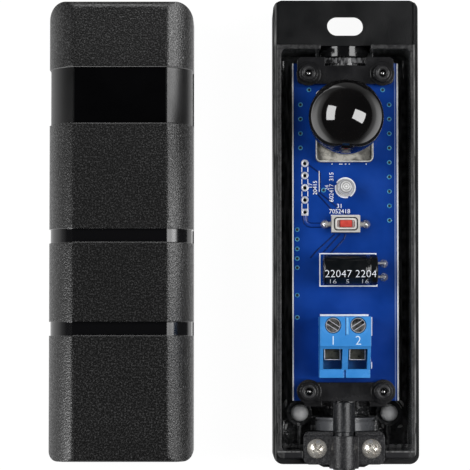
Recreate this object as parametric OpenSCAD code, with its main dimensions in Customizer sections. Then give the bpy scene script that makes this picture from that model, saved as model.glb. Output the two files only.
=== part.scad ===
// Gate safety photocell, shown open: the back casing with its swivelling board, and its cover laid beside it.
// X is the width, Y the length with the wall slot at +Y, Z points out of the front.
// The origin is the centre of the casing's flat back.

/* [Casing] */
// Width of the unit
case_w = 30; // [29.5:0.5:32]
// Length of the casing
case_l = 96; // [95:0.5:99]
// Height of the casing up to the ledge that carries the cover
case_h = 14; // [13.5:0.25:15.5]
// Radius of the casing's upright corners
case_r = 2; // [1.5:0.25:3]
// Thickness of the back
back_t = 2; // [1.6:0.1:2.3]
// Thickness of the long side walls
side_wall_t = 1.65; // [1.45:0.05:1.9]
// Thickness of the wall at the cable end
foot_wall_t = 2.8; // [2.4:0.1:3.2]
// Thickness of the wall between the room and the fixing tab
divider_t = 0.9; // [0.8:0.05:1.1]
// Width of the ledge outside the tongue
ledge_w = 0.75; // [0.6:0.05:0.9]
// Height of the tongue that goes up inside the cover
tongue_h = 2; // [1.6:0.2:2.4]

/* [Fixing tab] */
// Length of the tab at the top of the casing
tab_l = 9.5; // [9.2:0.1:9.8]
// Thickness of the tab's plate
tab_plate_t = 2; // [1.6:0.1:2.6]
// How far the plate lies below the ledge
tab_drop = 0.6; // [0.4:0.1:1]
// Length of the wall slot from end to end
slot_l = 7.5; // [6.5:0.25:8.5]
// Width of the wall slot
slot_w = 4.05; // [3.6:0.15:4.5]
// Diameter of each lower fixing hole
fixing_d = 3; // [2.8:0.1:3.4]
// Distance between the two lower fixing holes
fixing_pitch = 18.7; // [18.3:0.1:19.2]

/* [Swivel] */
// Height of the swivel axis above the wall
axis_z = 8.6; // [8.5:0.1:9.4]
// Diameter of the journals
journal_d = 4; // [3.6:0.1:4.4]
// Diameter of the toothed collars over the teeth
collar_d = 7.6; // [7.2:0.1:8]
// Number of teeth on each collar
collar_teeth = 12; // [10:1:16]
// Diameter of the upper pivot bush
upper_bush_d = 10.3; // [9.8:0.1:10.8]
// Diameter of the lower pivot bush
lower_bush_d = 12.3; // [11.8:0.1:12.6]
// Radial clearance of the journals and other running fits
running_gap = 0.05; // [0.03:0.01:0.08]

/* [Board] */
// Space between the circuit board and each side wall, in which it swivels
board_side_gap = 2.35; // [2.1:0.05:2.6]
// Thickness of the circuit board
board_t = 1.6; // [1.2:0.1:1.8]
// Height of the board's rear face above the swivel axis
board_rise = 2; // [1.8:0.1:2.3]

/* [End brackets] */
// How much narrower the upper bracket is than the board on each side
upper_bracket_inset = 1; // [0.8:0.1:1.4]
// How much narrower the lower bracket is than the board on each side
lower_bracket_inset = 1.3; // [0.9:0.1:1.6]
// Thickness of the brackets' plates
bracket_t = 1.4; // [1.2:0.1:1.7]
// Distance between the two bosses of a bracket
boss_pitch = 15.3; // [14.8:0.1:15.6]
// Diameter of the bosses
boss_d = 3.7; // [3.4:0.1:4]
// Height of the bosses above their plate
boss_h = 1.6; // [1.2:0.1:2]
// Diameter of the bore for each bracket pin
pin_bore_d = 1.4; // [1.3:0.1:1.7]

/* [Lens] */
// Diameter of the ball lens
lens_d = 15.4; // [14.8:0.1:15.6]
// Gap between the board and the lowest point of the lens ball
lens_lift = 0.9; // [0.8:0.1:1.2]
// Thickness of the lens shell
lens_shell_t = 1.2; // [0.9:0.1:1.4]
// Width of the square tray under the lens
tray_w = 11.9; // [11.6:0.1:12.6]
// Length of the tray
tray_l = 14.9; // [14:0.1:15.1]

/* [Terminal block] */
// Distance between the two poles
pole_pitch = 5.1; // [5:0.05:5.3]
// Height of the terminal block
terminal_h = 10; // [9.8:0.1:11]
// Depth of the terminal block along the board
terminal_l = 12.5; // [12.3:0.1:13]
// Diameter of the screw heads
clamp_head_d = 3; // [2.7:0.1:3.2]
// Width of each wire opening
wire_gap_w = 3.9; // [3.8:0.05:4]

/* [Small parts] */
// Diameter of the capacitor
cap_d = 6.3; // [5.9:0.1:6.5]
// Length of the capacitor
cap_l = 11.2; // [11:0.1:12]
// Diameter of the indicator's dome
led_d = 3; // [2.8:0.1:3.2]
// Width of the switch
switch_w = 5.9; // [5.7:0.1:6.3]
// Travel of the switch button
button_travel = 0.25; // [0.2:0.05:0.3]

/* [Cable end] */
// Diameter of the cable grommet's barrel
barrel_d = 4.5; // [4.2:0.1:4.8]
// Diameter of the grommet's bore
cable_bore_d = 2.8; // [2.4:0.1:3]
// Width of the cable saddle
saddle_w = 16.7; // [16.3:0.1:17.3]
// Thickness of the saddle's plate
saddle_t = 1.8; // [1.5:0.1:2.2]
// Distance between the saddle's screws
saddle_pitch = 11.2; // [11:0.1:11.6]
// How far the grommet and its saddle lie left of the middle
cable_offset = 0.5; // [0:0.1:0.6]

/* [Cover] */
// Height of the cover
cover_h = 17; // [16.5:0.25:18.5]
// Thickness of the cover's walls
cover_t = 1.8; // [1.6:0.1:2.1]
// How much shorter the cover is than the casing at each end
cover_reveal = 0.55; // [0.2:0.05:0.6]
// Width of the cover's flat front
front_flat_w = 19.5; // [18.5:0.25:20.5]
// Distance of the window's upper edge from the top of the cover
window_top = 13.6; // [12.5:0.1:14.5]
// Height of the window
window_h = 11.7; // [11:0.1:12.5]
// Depth of the window and the bands below the matt panels
band_depth = 0.3; // [0.2:0.05:0.4]
// Gap between the casing and the cover lying beside it
cover_gap = 16.6; // [12:0.2:24]

/* [Hidden] */
$fn = 64;
// Facets of the cover's large curves
fine_fn = 180;

// Overrun of every cut past the face that it opens
over = 1;
// Gap between flat faces of pieces that are only laid together
seat_gap = 0.1;
full_turn = 360;

// Casing
case_top = case_l / 2;
case_foot = -case_l / 2;
room_half_w = case_w / 2 - side_wall_t;
room_top = case_top - tab_l - divider_t;
room_foot = case_foot + foot_wall_t;
divider_top = room_top + divider_t;
room_corner_r = 1;
tongue_top = case_h + tongue_h;
tab_top_z = case_h - tab_drop;
tab_back_z = tab_top_z - tab_plate_t;
tab_end_t = 1.5;
tab_root_t = 1;
tab_rib_t = 1.2;
tab_rib_x = 6.6;
slot_inset = 5.3;
slot_y = case_top - slot_inset;
snap_groove_depth = 0.35;
snap_groove_h = 0.9;
snap_lead_depth = 0.15;
long_snap_inset = 36.1;
long_snap_y = case_top - long_snap_inset;
long_snap_l = 7.1;
short_snap_inset = 7.4;
short_snap_y = case_foot + short_snap_inset;
short_snap_l = 2.2;
lug_w = 10.8;
lug_l = 0.6;
lug_h = 6;
lug_bevel = 1.2;

// Swivel
play = 0.2;
upper_bush_l = 2.1;
upper_bush_face = divider_top - upper_bush_l;
upper_bore_l = 1.6;
lower_bush_l = 2.7;
lower_bush_inset = 4;
lower_bush_foot = room_foot + lower_bush_inset;
lower_bush_face = lower_bush_foot + lower_bush_l;
lower_bore_l = 2.4;
bush_groove_from = 0.45;
bush_groove_l = 0.4;
bush_groove_depth = 0.35;
cradle_side_t = 0.9;
cradle_overhang = 0.2;
lower_cradle_drop = 3.1;
tooth_depth = 0.5;
tooth_share = 0.5;

// Board
web_gap = seat_gap;
web_t = 1.1;
lower_collar_l = 1.5;
bare_journal_l = 1.9;
board_w = 2 * (room_half_w - board_side_gap);
board_z = axis_z + board_rise;
board_top = board_z + board_t;
board_head = upper_bush_face - play - web_t - web_gap;
board_foot = lower_bush_face + bare_journal_l + lower_collar_l + web_gap;
notch_w = 9;
notch_l = 0.7;
lead_d = 0.5;
lead_hole_d = 0.9;
lead_below = 1.2;
header_inset = 2.6;
header_x = header_inset - board_w / 2;
header_pitch = 2.54;
header_count = 5;
header_hole_d = 0.85;
lead_pitch = 2.54;

// Brackets
upper_bracket_w = board_w - 2 * upper_bracket_inset;
lower_bracket_w = board_w - 2 * lower_bracket_inset;
upper_plate_l = 4.4;
lower_plate_l = 3.8;
upper_boss_inset = 2.3;
lower_boss_inset = 1.9;
collar_overlap = 0.4;
upper_plate_in = board_head - upper_plate_l;
lower_plate_in = -board_foot - lower_plate_l;
upper_boss_y = board_head - upper_boss_inset;
lower_boss_y = -board_foot - lower_boss_inset;
upper_web_out = board_head + web_gap + web_t;
lower_web_in = web_gap - board_foot;
lower_web_out = lower_web_in + web_t;
lower_collar_out = lower_web_in + lower_collar_l;
collar_in = board_head - collar_overlap;
collar_window_half_w = 4.2;
web_half_w = 9;
web_waist_half_w = 4;
web_shoulder_drop = 0.2;
web_depth = 2.6;
lower_web_half_w = 8.5;
lower_dip_half_w = 5;
lower_dip = 0.8;
plate_r = 1;
boss_foot_d = 5;
boss_foot_h = 0.4;
pin_gap = 0.05;
pin_head_d = 3;
pin_head_h = 0.7;
pin_sink = 0.35;

// Where the parts stand along the board: each gap is a share of the length that they leave free
led_flange_rim = 0.4;
led_flange_r = led_d / 2 + led_flange_rim;
switch_l = 3.5;
tray_gap_share = 0.065;
led_gap_share = 0.161;
switch_gap_share = 0.19;
cap_gap_share = 0.224;
terminal_gap_share = 0.312;
free_l = upper_plate_in + lower_plate_in - tray_l - 2 * led_flange_r - switch_l - cap_d - terminal_l;
tray_y = upper_plate_in - tray_gap_share * free_l - tray_l / 2;
led_y = tray_y - tray_l / 2 - led_gap_share * free_l - led_flange_r;
switch_y = led_y - led_flange_r - switch_gap_share * free_l - switch_l / 2;
cap_y = switch_y - switch_l / 2 - cap_gap_share * free_l - cap_d / 2;
terminal_back = cap_y - cap_d / 2 - terminal_gap_share * free_l;

// Lens, in heights above the board
lens_x = -0.2;
lens_offset = 1.3;
lens_y = tray_y + lens_offset;
lens_rise = lens_lift + lens_d / 2;
tray_floor_t = 1.2;
tray_rim_h = 1.8;
tray_rim_t = 0.4;
tray_r = 1;
cup_inset = 0.55;
cup_rim_inset = 0.2;
cup_rim_share = 0.26;
cup_top_share = 0.195;
lens_cut_share = 0.3377;
cup_foot_r = tray_w / 2 - cup_inset;
cup_foot_top = 2.4;
cup_rim_z = lens_rise - cup_rim_share * lens_d;
cup_top = lens_rise - cup_top_share * lens_d;
cup_rim_r = lens_d / 2 - cup_rim_inset;
cup_bore_r = 4.4;
lens_cut = lens_rise - lens_cut_share * lens_d;
emitter_r = 2.5;
emitter_flange_r = 2.9;
emitter_flange_h = 1;
emitter_body_h = 4.3;

// Indicator, in heights above the board
led_flange_h = 0.8;
led_body_h = 3.3;

// Switch, in heights above the board
switch_case_h = 2.2;
switch_plate_t = 0.3;
button_w = 2.4;
button_l = 1.35;
button_gap = 0.15;
button_flange = 0.4;
button_flange_t = 0.5;
button_top = 3.5;
button_stop_gap = 0.05;
button_foot_z = switch_case_h - button_flange_t - button_stop_gap;
button_pocket_z = button_foot_z - button_travel - button_stop_gap;
switch_lead_x = 4.4;
switch_lead_w = 0.7;
switch_lead_t = 0.25;
switch_lead_reach = 5;

// Capacitor, lying along X
cap_left = -4.77;
cap_sleeve_t = 0.13;
cap_fit = 0.02;
cap_lip = 0.45;
cap_seat = 0.05;
cap_z = board_top + cap_d / 2 + cap_seat;
cap_can_r = cap_d / 2 - cap_sleeve_t - cap_fit;
cap_mouth_t = 0.35;
cap_bung_l = 0.8;
cap_bung_sink = 0.1;
cap_lead_pitch = 2.8;
cap_lead_reach = 1.5;
cap_right = cap_left + cap_l;
cap_lead_x = cap_right + cap_lead_reach;

// Terminal block, in heights above the board
terminal_x = -0.45;
terminal_side = 0.15;
terminal_w = 2 * pole_pitch + terminal_side;
terminal_front = terminal_back - terminal_l;
clamp_inset = 1.8;
clamp_y = terminal_back - clamp_inset;
step_inset = 6.1;
step_y = terminal_back - step_inset;
step_drop = 0.4;
sill_l = 0.5;
wire_gap_l = 4.1;
lip_gap = 0.2;
wire_gap_back = step_y - sill_l;
wire_gap_front = wire_gap_back - wire_gap_l;
lip_h = 6.2;
lip_back = wire_gap_front - lip_gap;
terminal_back_t = 0.6;
channel_w = 3.6;
channel_floor = 1.4;
channel_top = 7.6;
head_well_floor = 8.2;
head_well_gap = 0.15;
clamp_head_h = 1.4;
clamp_head_gap = 0.05;
clamp_head_z = head_well_floor + clamp_head_gap;
clamp_shank_d = 2.2;
clamp_shank_foot = 5.1;
driver_slot_w = 0.7;
driver_slot_depth = 0.6;
driver_slot_turn = 33;
cage_w = 3.4;
cage_t = 0.5;
cage_foot = 1.7;
cage_h = 4.4;
cage_plate_reach = 1.1;
cage_ring_reach = 0.5;
cage_gap_reach = 2.3;
cage_back = clamp_y + cage_plate_reach;
cage_ring_back = clamp_y + cage_ring_reach;
cage_front = wire_gap_back - cage_gap_reach;
contact_w = 2.2;
contact_t = 0.6;
contact_z = 4.3;
contact_inset = 0.5;
contact_front = cage_front + contact_inset;
contact_leg_w = 1;
contact_leg_t = 0.5;
contact_leg_back = terminal_back - terminal_back_t;
contact_hole_d = 1.5;
lip_groove_w = 0.4;
lip_groove_depth = 0.5;

// Rear of the board
chip_w = 3.9;
chip_l = 8.65;
chip_t = 1.5;
chip_y = (switch_y + cap_y) / 2;
chip_r = 0.3;
joint_r = 0.85;
joint_tip_r = 0.35;
joint_h = 0.8;

// Cable end
cable_x = -cable_offset;
barrel_gap = 0.35;
barrel_z = axis_z + collar_d / 2 + barrel_gap + barrel_d / 2;
barrel_head_gap = 0.35;
barrel_head = board_foot - barrel_head_gap;
neck_inset = 3.05;
neck_l = 0.8;
neck_to = room_foot + neck_inset;
neck_from = neck_to + neck_l;
neck_depth = 0.3;
barrel_reach = 1.1;
barrel_foot = case_foot - barrel_reach;
saddle_l = 6.7;
saddle_step = 0.5;
saddle_r = 1.3;
saddle_y = case_foot + saddle_l / 2;
saddle_top = case_h + saddle_t;
hump_t = 0.7;
hump_r = barrel_d / 2 + running_gap + hump_t;
hump_reach = 0.8;
hump_head = neck_to;
hump_foot = case_foot - hump_reach;
saddle_screw_inset = 0.45;
saddle_screw_y = room_foot + saddle_screw_inset;
saddle_screw_d = 2;
saddle_hole_d = 2.4;
saddle_boss_d = 5.2;
saddle_screw_l = 7;
saddle_head_d = 4.1;
saddle_head_h = 1.3;
saddle_dome_r = 2.2;
cross_l = 2.4;
cross_w = 0.6;
cross_depth = 0.8;
cross_turn = 35;
pilot_extra = 0.6;

// Fixing plugs
fixing_inset = 7.5;
fixing_y = room_foot + fixing_inset;
fixing_boss_d = 5.4;
fixing_boss_h = 3;
plug_head_d = 3.6;
plug_head_h = 1.3;
plug_stem_foot = 0.8;
boss_z = back_t + fixing_boss_h;
rib_w = 0.9;
fixing_rib_drop = 1.2;
fixing_rib_top = boss_z - fixing_rib_drop;
boss_web_rise = 0.8;
boss_web_top = boss_z + boss_web_rise;

// Cover
cover_x = -(case_w + cover_gap);
cover_l = case_l - 2 * cover_reveal;
cover_top = cover_l / 2;
crease_turn = 30;
side_turn = 12.2;
shoulder_r = (case_w - front_flat_w) / 2 / (cos(side_turn) - sin(crease_turn));
shoulder_x = front_flat_w / 2 - shoulder_r * sin(crease_turn);
shoulder_z = cover_h - shoulder_r * cos(crease_turn);
cover_top_r = 3.3;
cover_foot_r = 2;
cover_end_r = 1.4;
rabbet_gap = 0.08;
lip_t = ledge_w - rabbet_gap;
rabbet_end_gap = 0.1;
rabbet_h = tongue_h + rabbet_end_gap;
hook_depth = 0.25;
hook_h = 0.6;
hook_z = rabbet_h / 2 - hook_h / 2;
hook_gap = 0.3;
hump_relief = 0.3;
window_from = cover_top - window_top - window_h;
window_to = cover_top - window_top;
window_t = 1;
window_gap = 0.05;
window_rim = 1.3;
window_foot = 3;
window_opening_foot = 5;
band_l = 2.9;
band_foot = 2.6;
upper_band_rise = 47.95;
lower_band_rise = 28.75;
upper_band_top = upper_band_rise - cover_top;
lower_band_top = lower_band_rise - cover_top;

// A rectangle with round corners, centred
module round_rect(w, l, r) {
    square([w - 2 * r, l], center = true);
    square([w, l - 2 * r], center = true);
    for (sx = [-1, 1], sy = [-1, 1]) translate([sx * (w / 2 - r), sy * (l / 2 - r)]) circle(r);
}

// A box given by two opposite corners
module span(from, to) translate(from) cube(to - from);

// A cylinder along Y from one place to another
module along_y(x, z, r, y_from, y_to)
    translate([x, max(y_from, y_to), z]) rotate([90, 0, 0]) cylinder(r = r, h = abs(y_to - y_from));

// A flat outline drawn in X and Z, made thick along Y
module slice_y(y_from, y_to)
    translate([0, y_to, 0]) rotate([90, 0, 0]) linear_extrude(y_to - y_from) children();

module both_sides() {
    children();
    mirror([1, 0, 0]) children();
}

// Casing

module saddle_screw_places() for (side = [-1, 1])
    translate([cable_x + side * saddle_pitch / 2, saddle_screw_y, 0]) children();

module fixing_places() for (side = [-1, 1]) translate([side * fixing_pitch / 2, fixing_y, 0]) children();

module room_outline() translate([0, (room_top + room_foot) / 2])
    round_rect(2 * room_half_w, room_top - room_foot, room_corner_r);

module tongue_outline() difference() {
    intersection() {
        round_rect(case_w - 2 * ledge_w, cover_l - 2 * ledge_w, case_r - ledge_w);
        translate([-case_w / 2, case_foot]) square([case_w, room_top + divider_t - case_foot]);
    }
    room_outline();
}

module slot_outline() {
    square([slot_l - slot_w, slot_w], center = true);
    for (side = [-1, 1]) translate([side * (slot_l - slot_w) / 2, 0]) circle(d = slot_w);
}

module casing_shell() difference() {
    union() {
        linear_extrude(case_h) round_rect(case_w, case_l, case_r);
        translate([0, 0, case_h]) linear_extrude(tongue_h) tongue_outline();
        cable_lug();
    }
    translate([0, 0, back_t]) linear_extrude(tongue_top) room_outline();
    span([ledge_w - case_w / 2, divider_top, tab_top_z],
        [case_w / 2 - ledge_w, case_top + over, case_h + over]);
    span([-room_half_w, divider_top + tab_root_t, -over], [room_half_w, case_top - tab_end_t, tab_back_z]);
}

// The lug below the cable outlet, with bevelled corners
module cable_lug() translate([cable_x, case_foot, case_h - lug_h]) linear_extrude(lug_h)
    polygon([[-lug_w / 2, case_r], [-lug_w / 2, 0], [lug_bevel - lug_w / 2, -lug_l],
        [lug_w / 2 - lug_bevel, -lug_l], [lug_w / 2, 0], [lug_w / 2, case_r]]);

module tab_ribs() both_sides() span([tab_rib_x, divider_top, 0],
    [tab_rib_x + tab_rib_t, case_top - tab_end_t / 2, tab_back_z + tab_plate_t / 2]);

module upper_cradle() span([-upper_bush_d / 2 - cradle_side_t, upper_bush_face + seat_gap, 0],
    [upper_bush_d / 2 + cradle_side_t, room_top + divider_t / 2, axis_z]);

module lower_cradle() span([-lower_bush_d / 2 - cradle_side_t, lower_bush_foot - cradle_overhang, 0],
    [lower_bush_d / 2 + cradle_side_t, lower_bush_face + cradle_overhang, axis_z - lower_cradle_drop]);

// A rib with a round back on the floor of the room, along Y
module floor_rib(x, y_from, y_to, top) {
    span([x - rib_w / 2, y_from, back_t / 2], [x + rib_w / 2, y_to, top - rib_w / 2]);
    along_y(x, top - rib_w / 2, rib_w / 2, y_from, y_to);
}

module fixing_ribs() for (side = [-1, 1])
    floor_rib(side * fixing_pitch / 2, room_foot - foot_wall_t / 2, fixing_y, fixing_rib_top);

// A web from each of the saddle's bosses to the side wall
module boss_webs() for (side = [-1, 1]) {
    boss_x = cable_x + side * saddle_pitch / 2;
    wall_x = side * (room_half_w + side_wall_t / 2);
    rotate(90) floor_rib(saddle_screw_y, -max(boss_x, wall_x), -min(boss_x, wall_x), boss_web_top);
}

// A bush's round seat, open towards the front
module bush_seat(d, y_from, y_to) {
    along_y(0, axis_z, d / 2 + running_gap, y_from, y_to);
    span([-d / 2 - running_gap, y_from, axis_z], [d / 2 + running_gap, y_to, tongue_top + over]);
}

module snap_grooves(y, l) both_sides() {
    span([case_w / 2 - ledge_w - snap_groove_depth, y - l / 2, case_h + (tongue_h - snap_groove_h) / 2],
        [case_w / 2, y + l / 2, case_h + (tongue_h + snap_groove_h) / 2]);
    span([case_w / 2 - ledge_w - snap_lead_depth, y - l / 2, case_h + tongue_h / 2],
        [case_w / 2, y + l / 2, tongue_top + over]);
}

module back_casing() color([0.09, 0.09, 0.1]) difference() {
    union() {
        casing_shell();
        tab_ribs();
        saddle_screw_places() cylinder(d = saddle_boss_d, h = case_h);
        fixing_places() cylinder(d = fixing_boss_d, h = boss_z);
        upper_cradle();
        lower_cradle();
        fixing_ribs();
        boss_webs();
    }
    translate([0, slot_y, tab_back_z - over]) linear_extrude(tab_plate_t + 2 * over) slot_outline();
    bush_seat(upper_bush_d, upper_bush_face, divider_top + running_gap);
    bush_seat(lower_bush_d, lower_bush_foot - running_gap, lower_bush_face + running_gap);
    along_y(cable_x, barrel_z, barrel_d / 2 + running_gap, neck_from, hump_foot - over);
    span([cable_x - saddle_w / 2 - seat_gap, case_foot - over, case_h],
        [cable_x + saddle_w / 2 + seat_gap, room_foot + over, tongue_top + over]);
    saddle_screw_places() translate([0, 0, saddle_top - saddle_screw_l - pilot_extra])
        cylinder(d = saddle_screw_d + 2 * running_gap, h = saddle_screw_l);
    fixing_places() translate([0, 0, -over]) cylinder(d = fixing_d, h = boss_z + 2 * over);
    snap_grooves(long_snap_y, long_snap_l);
    snap_grooves(short_snap_y, short_snap_l);
}

module upper_pivot_bush() color([0.05, 0.05, 0.06]) difference() {
    along_y(0, axis_z, upper_bush_d / 2, upper_bush_face, divider_top);
    along_y(0, axis_z, journal_d / 2 + running_gap, upper_bush_face - over, upper_bush_face + upper_bore_l);
}

module lower_pivot_bush() color([0.55, 0.57, 0.58]) difference() {
    along_y(0, axis_z, lower_bush_d / 2, lower_bush_foot, lower_bush_face);
    difference() {
        along_y(0, axis_z, lower_bush_d / 2 + over, lower_bush_face - bush_groove_from - bush_groove_l,
            lower_bush_face - bush_groove_from);
        along_y(0, axis_z, lower_bush_d / 2 - bush_groove_depth, lower_bush_foot, lower_bush_face);
    }
    along_y(0, axis_z, journal_d / 2 + running_gap, lower_bush_face - lower_bore_l, lower_bush_face + over);
    along_y(cable_x, barrel_z, barrel_d / 2 + seat_gap, lower_bush_foot - over, lower_bush_face + over);
}

module fixing_plug() {
    translate([0, 0, boss_z]) cylinder(d = plug_head_d, h = plug_head_h);
    translate([0, 0, boss_z + plug_head_h]) intersection() {
        sphere(d = plug_head_d);
        cylinder(d = plug_head_d, h = plug_head_d);
    }
    translate([0, 0, plug_stem_foot])
        cylinder(d = fixing_d - 2 * running_gap, h = boss_z + plug_head_h / 2 - plug_stem_foot);
}

module fixing_plugs() color([0.6, 0.62, 0.63]) fixing_places() fixing_plug();

// Cable end

module cable_grommet() color([0.13, 0.13, 0.14]) difference() {
    union() {
        along_y(cable_x, barrel_z, barrel_d / 2, barrel_head, neck_from);
        along_y(cable_x, barrel_z, barrel_d / 2 - neck_depth, neck_from + over, neck_to - over);
        along_y(cable_x, barrel_z, barrel_d / 2, neck_to, barrel_foot);
    }
    along_y(cable_x, barrel_z, cable_bore_d / 2, barrel_head + over, barrel_foot - over);
}

module saddle_plate(t) translate([cable_x, saddle_y, case_h]) linear_extrude(t)
    round_rect(saddle_w, saddle_l, saddle_r);

// The plate is lower along its inner edge
module cable_saddle() color([0.15, 0.15, 0.16]) difference() {
    union() {
        saddle_plate(saddle_t - saddle_step);
        intersection() {
            saddle_plate(saddle_t);
            span([cable_x - saddle_w / 2, case_foot, case_h], [cable_x + saddle_w / 2, hump_head, saddle_top]);
        }
        intersection() {
            union() {
                along_y(cable_x, barrel_z, hump_r, hump_head, hump_foot);
                span([cable_x - hump_r, hump_foot, case_h], [cable_x + hump_r, hump_head, barrel_z]);
            }
            span([cable_x - hump_r, hump_foot, case_h], [cable_x + hump_r, hump_head, barrel_z + hump_r]);
        }
    }
    along_y(cable_x, barrel_z, barrel_d / 2 + running_gap, hump_head + 2 * over, hump_foot - over);
    saddle_screw_places() translate([0, 0, case_h - over]) cylinder(d = saddle_hole_d, h = saddle_t + 2 * over);
}

// A domed screw with a cross recess, standing on z = 0 with its shank below
module saddle_screw() difference() {
    union() {
        intersection() {
            cylinder(d = saddle_head_d, h = saddle_head_h);
            translate([0, 0, saddle_head_h - saddle_dome_r]) sphere(r = saddle_dome_r);
        }
        translate([0, 0, -saddle_screw_l]) cylinder(d = saddle_screw_d, h = saddle_screw_l + saddle_head_h / 2);
    }
    for (turn = [0, 90]) rotate(turn) span([-cross_l / 2, -cross_w / 2, saddle_head_h - cross_depth],
        [cross_l / 2, cross_w / 2, saddle_head_h + over]);
}

module saddle_screws() color([0.78, 0.75, 0.68]) saddle_screw_places()
    translate([0, 0, saddle_top]) rotate(cross_turn) saddle_screw();

// Board and its brackets

module lead_places(x, y, pitch) for (side = [-1, 1]) translate([x + side * pitch / 2, y]) children();

module cap_lead_places() for (side = [-1, 1])
    translate([cap_lead_x, cap_y + side * cap_lead_pitch / 2]) children();

module boss_places() for (side = [-1, 1]) {
    translate([side * boss_pitch / 2, upper_boss_y]) children();
    translate([side * boss_pitch / 2, -lower_boss_y]) children();
}

module contact_places() for (side = [-1, 1])
    translate([terminal_x + side * pole_pitch / 2, contact_leg_back - contact_leg_t / 2]) children();

module board_outline() difference() {
    translate([-board_w / 2, board_foot]) square([board_w, board_head - board_foot]);
    translate([-notch_w / 2, board_head - notch_l]) square([notch_w, notch_l + over]);
    boss_places() circle(d = pin_bore_d);
    for (i = [0 : header_count - 1])
        translate([header_x, led_y + (i - (header_count - 1) / 2) * header_pitch]) circle(d = header_hole_d);
    lead_places(lens_x, lens_y, lead_pitch) circle(d = lead_hole_d);
    lead_places(0, led_y, lead_pitch) circle(d = lead_hole_d);
    lead_places(0, switch_y, 2 * switch_lead_x) circle(d = lead_hole_d);
    cap_lead_places() circle(d = lead_hole_d);
    contact_places() circle(d = contact_hole_d);
}

module circuit_board() color([0.03, 0.16, 0.5])
    translate([0, 0, board_z]) linear_extrude(board_t) board_outline();

// The outline of a toothed collar
module collar_outline() {
    tip = collar_d / 2;
    root = tip - tooth_depth;
    step = full_turn / collar_teeth;
    tooth_half = tip * sin(step * tooth_share / 2);
    circle(root);
    for (i = [0 : collar_teeth - 1]) rotate((i + tooth_share) * step) intersection() {
        circle(tip);
        translate([0, -tooth_half]) square([tip, 2 * tooth_half]);
    }
}

// A toothed collar and its journal, along Y from the web outwards
module collar(y_from, y_to, journal_to) {
    translate([0, 0, axis_z]) slice_y(y_from, y_to) collar_outline();
    along_y(0, axis_z, journal_d / 2, y_from, journal_to);
}

// A bracket's plate on the board, with its two bosses
module bracket_plate(w, y_in, y_out, boss_y) {
    translate([0, (y_in + y_out) / 2, board_top]) linear_extrude(bracket_t)
        round_rect(w, y_out - y_in, plate_r);
    for (side = [-1, 1]) translate([side * boss_pitch / 2, boss_y, board_top + bracket_t / 2]) {
        cylinder(d = boss_foot_d, h = bracket_t / 2 + boss_foot_h);
        cylinder(d = boss_d, h = bracket_t / 2 + boss_h);
    }
}

module bracket_bores(boss_y) for (side = [-1, 1]) translate([side * boss_pitch / 2, boss_y, board_top - over])
    cylinder(d = pin_bore_d, h = bracket_t + boss_h + 2 * over);

module upper_bracket() color([0.1, 0.1, 0.11]) difference() {
    union() {
        difference() {
            bracket_plate(upper_bracket_w, upper_plate_in, upper_web_out, upper_boss_y);
            span([-collar_window_half_w, collar_in - play, board_top - over],
                [collar_window_half_w, upper_web_out + over, board_top + bracket_t + over]);
        }
        slice_y(board_head + web_gap, upper_web_out) polygon([
            [-web_half_w, board_top + bracket_t / 2], [-web_half_w, board_z - web_shoulder_drop],
            [-web_waist_half_w, axis_z - web_depth], [web_waist_half_w, axis_z - web_depth],
            [web_half_w, board_z - web_shoulder_drop], [web_half_w, board_top + bracket_t / 2],
            [collar_window_half_w, board_top + bracket_t / 2], [collar_window_half_w, board_top],
            [-collar_window_half_w, board_top], [-collar_window_half_w, board_top + bracket_t / 2]]);
        collar(collar_in, upper_web_out, upper_bush_face + upper_bore_l - play);
    }
    bracket_bores(upper_boss_y);
}

module lower_bracket() color([0.1, 0.1, 0.11]) mirror([0, 1, 0]) difference() {
    union() {
        bracket_plate(lower_bracket_w, lower_plate_in, lower_web_in, lower_boss_y);
        slice_y(lower_web_in, lower_web_out) polygon([
            [-lower_web_half_w, board_top + lower_dip], [-lower_web_half_w, board_z - web_shoulder_drop],
            [-web_waist_half_w, axis_z - web_depth], [web_waist_half_w, axis_z - web_depth],
            [lower_web_half_w, board_z - web_shoulder_drop], [lower_web_half_w, board_top + lower_dip],
            [lower_dip_half_w, board_top + lower_dip], [lower_dip_half_w, board_top - lower_dip],
            [-lower_dip_half_w, board_top - lower_dip], [-lower_dip_half_w, board_top + lower_dip]]);
        collar(lower_web_in, lower_collar_out, -lower_bush_face + lower_bore_l - play);
    }
    bracket_bores(lower_boss_y);
}

module bracket_pin() {
    shank_top = board_top + bracket_t + boss_h - pin_sink;
    shank_r = pin_bore_d / 2 - pin_gap;
    translate([0, 0, board_z - pin_head_h]) cylinder(d = pin_head_d, h = pin_head_h);
    translate([0, 0, board_z - pin_head_h / 2])
        cylinder(r = shank_r, h = shank_top - shank_r - board_z + pin_head_h / 2);
    translate([0, 0, shank_top - shank_r]) sphere(r = shank_r);
}

module bracket_pins() color([0.75, 0.75, 0.74]) boss_places() bracket_pin();

// Lens and emitter

module above_board(x, y, z) translate([x, y, board_top + z]) children();

module lead_pair(x, y, top) lead_places(x, y, lead_pitch)
    translate([0, 0, board_z - lead_below]) cylinder(d = lead_d, h = lead_below + board_t + top);

module lens_tray() color([0.55, 0.53, 0.48]) difference() {
    above_board(lens_x, tray_y, 0) linear_extrude(tray_rim_h) round_rect(tray_w, tray_l, tray_r);
    above_board(lens_x, tray_y, tray_floor_t) linear_extrude(tray_rim_h)
        round_rect(tray_w - 2 * tray_rim_t, tray_l - 2 * tray_rim_t, tray_r - tray_rim_t);
    lead_places(lens_x, lens_y, lead_pitch) translate([0, 0, board_top - over])
        cylinder(d = lead_hole_d, h = tray_rim_h + 2 * over);
}

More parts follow.
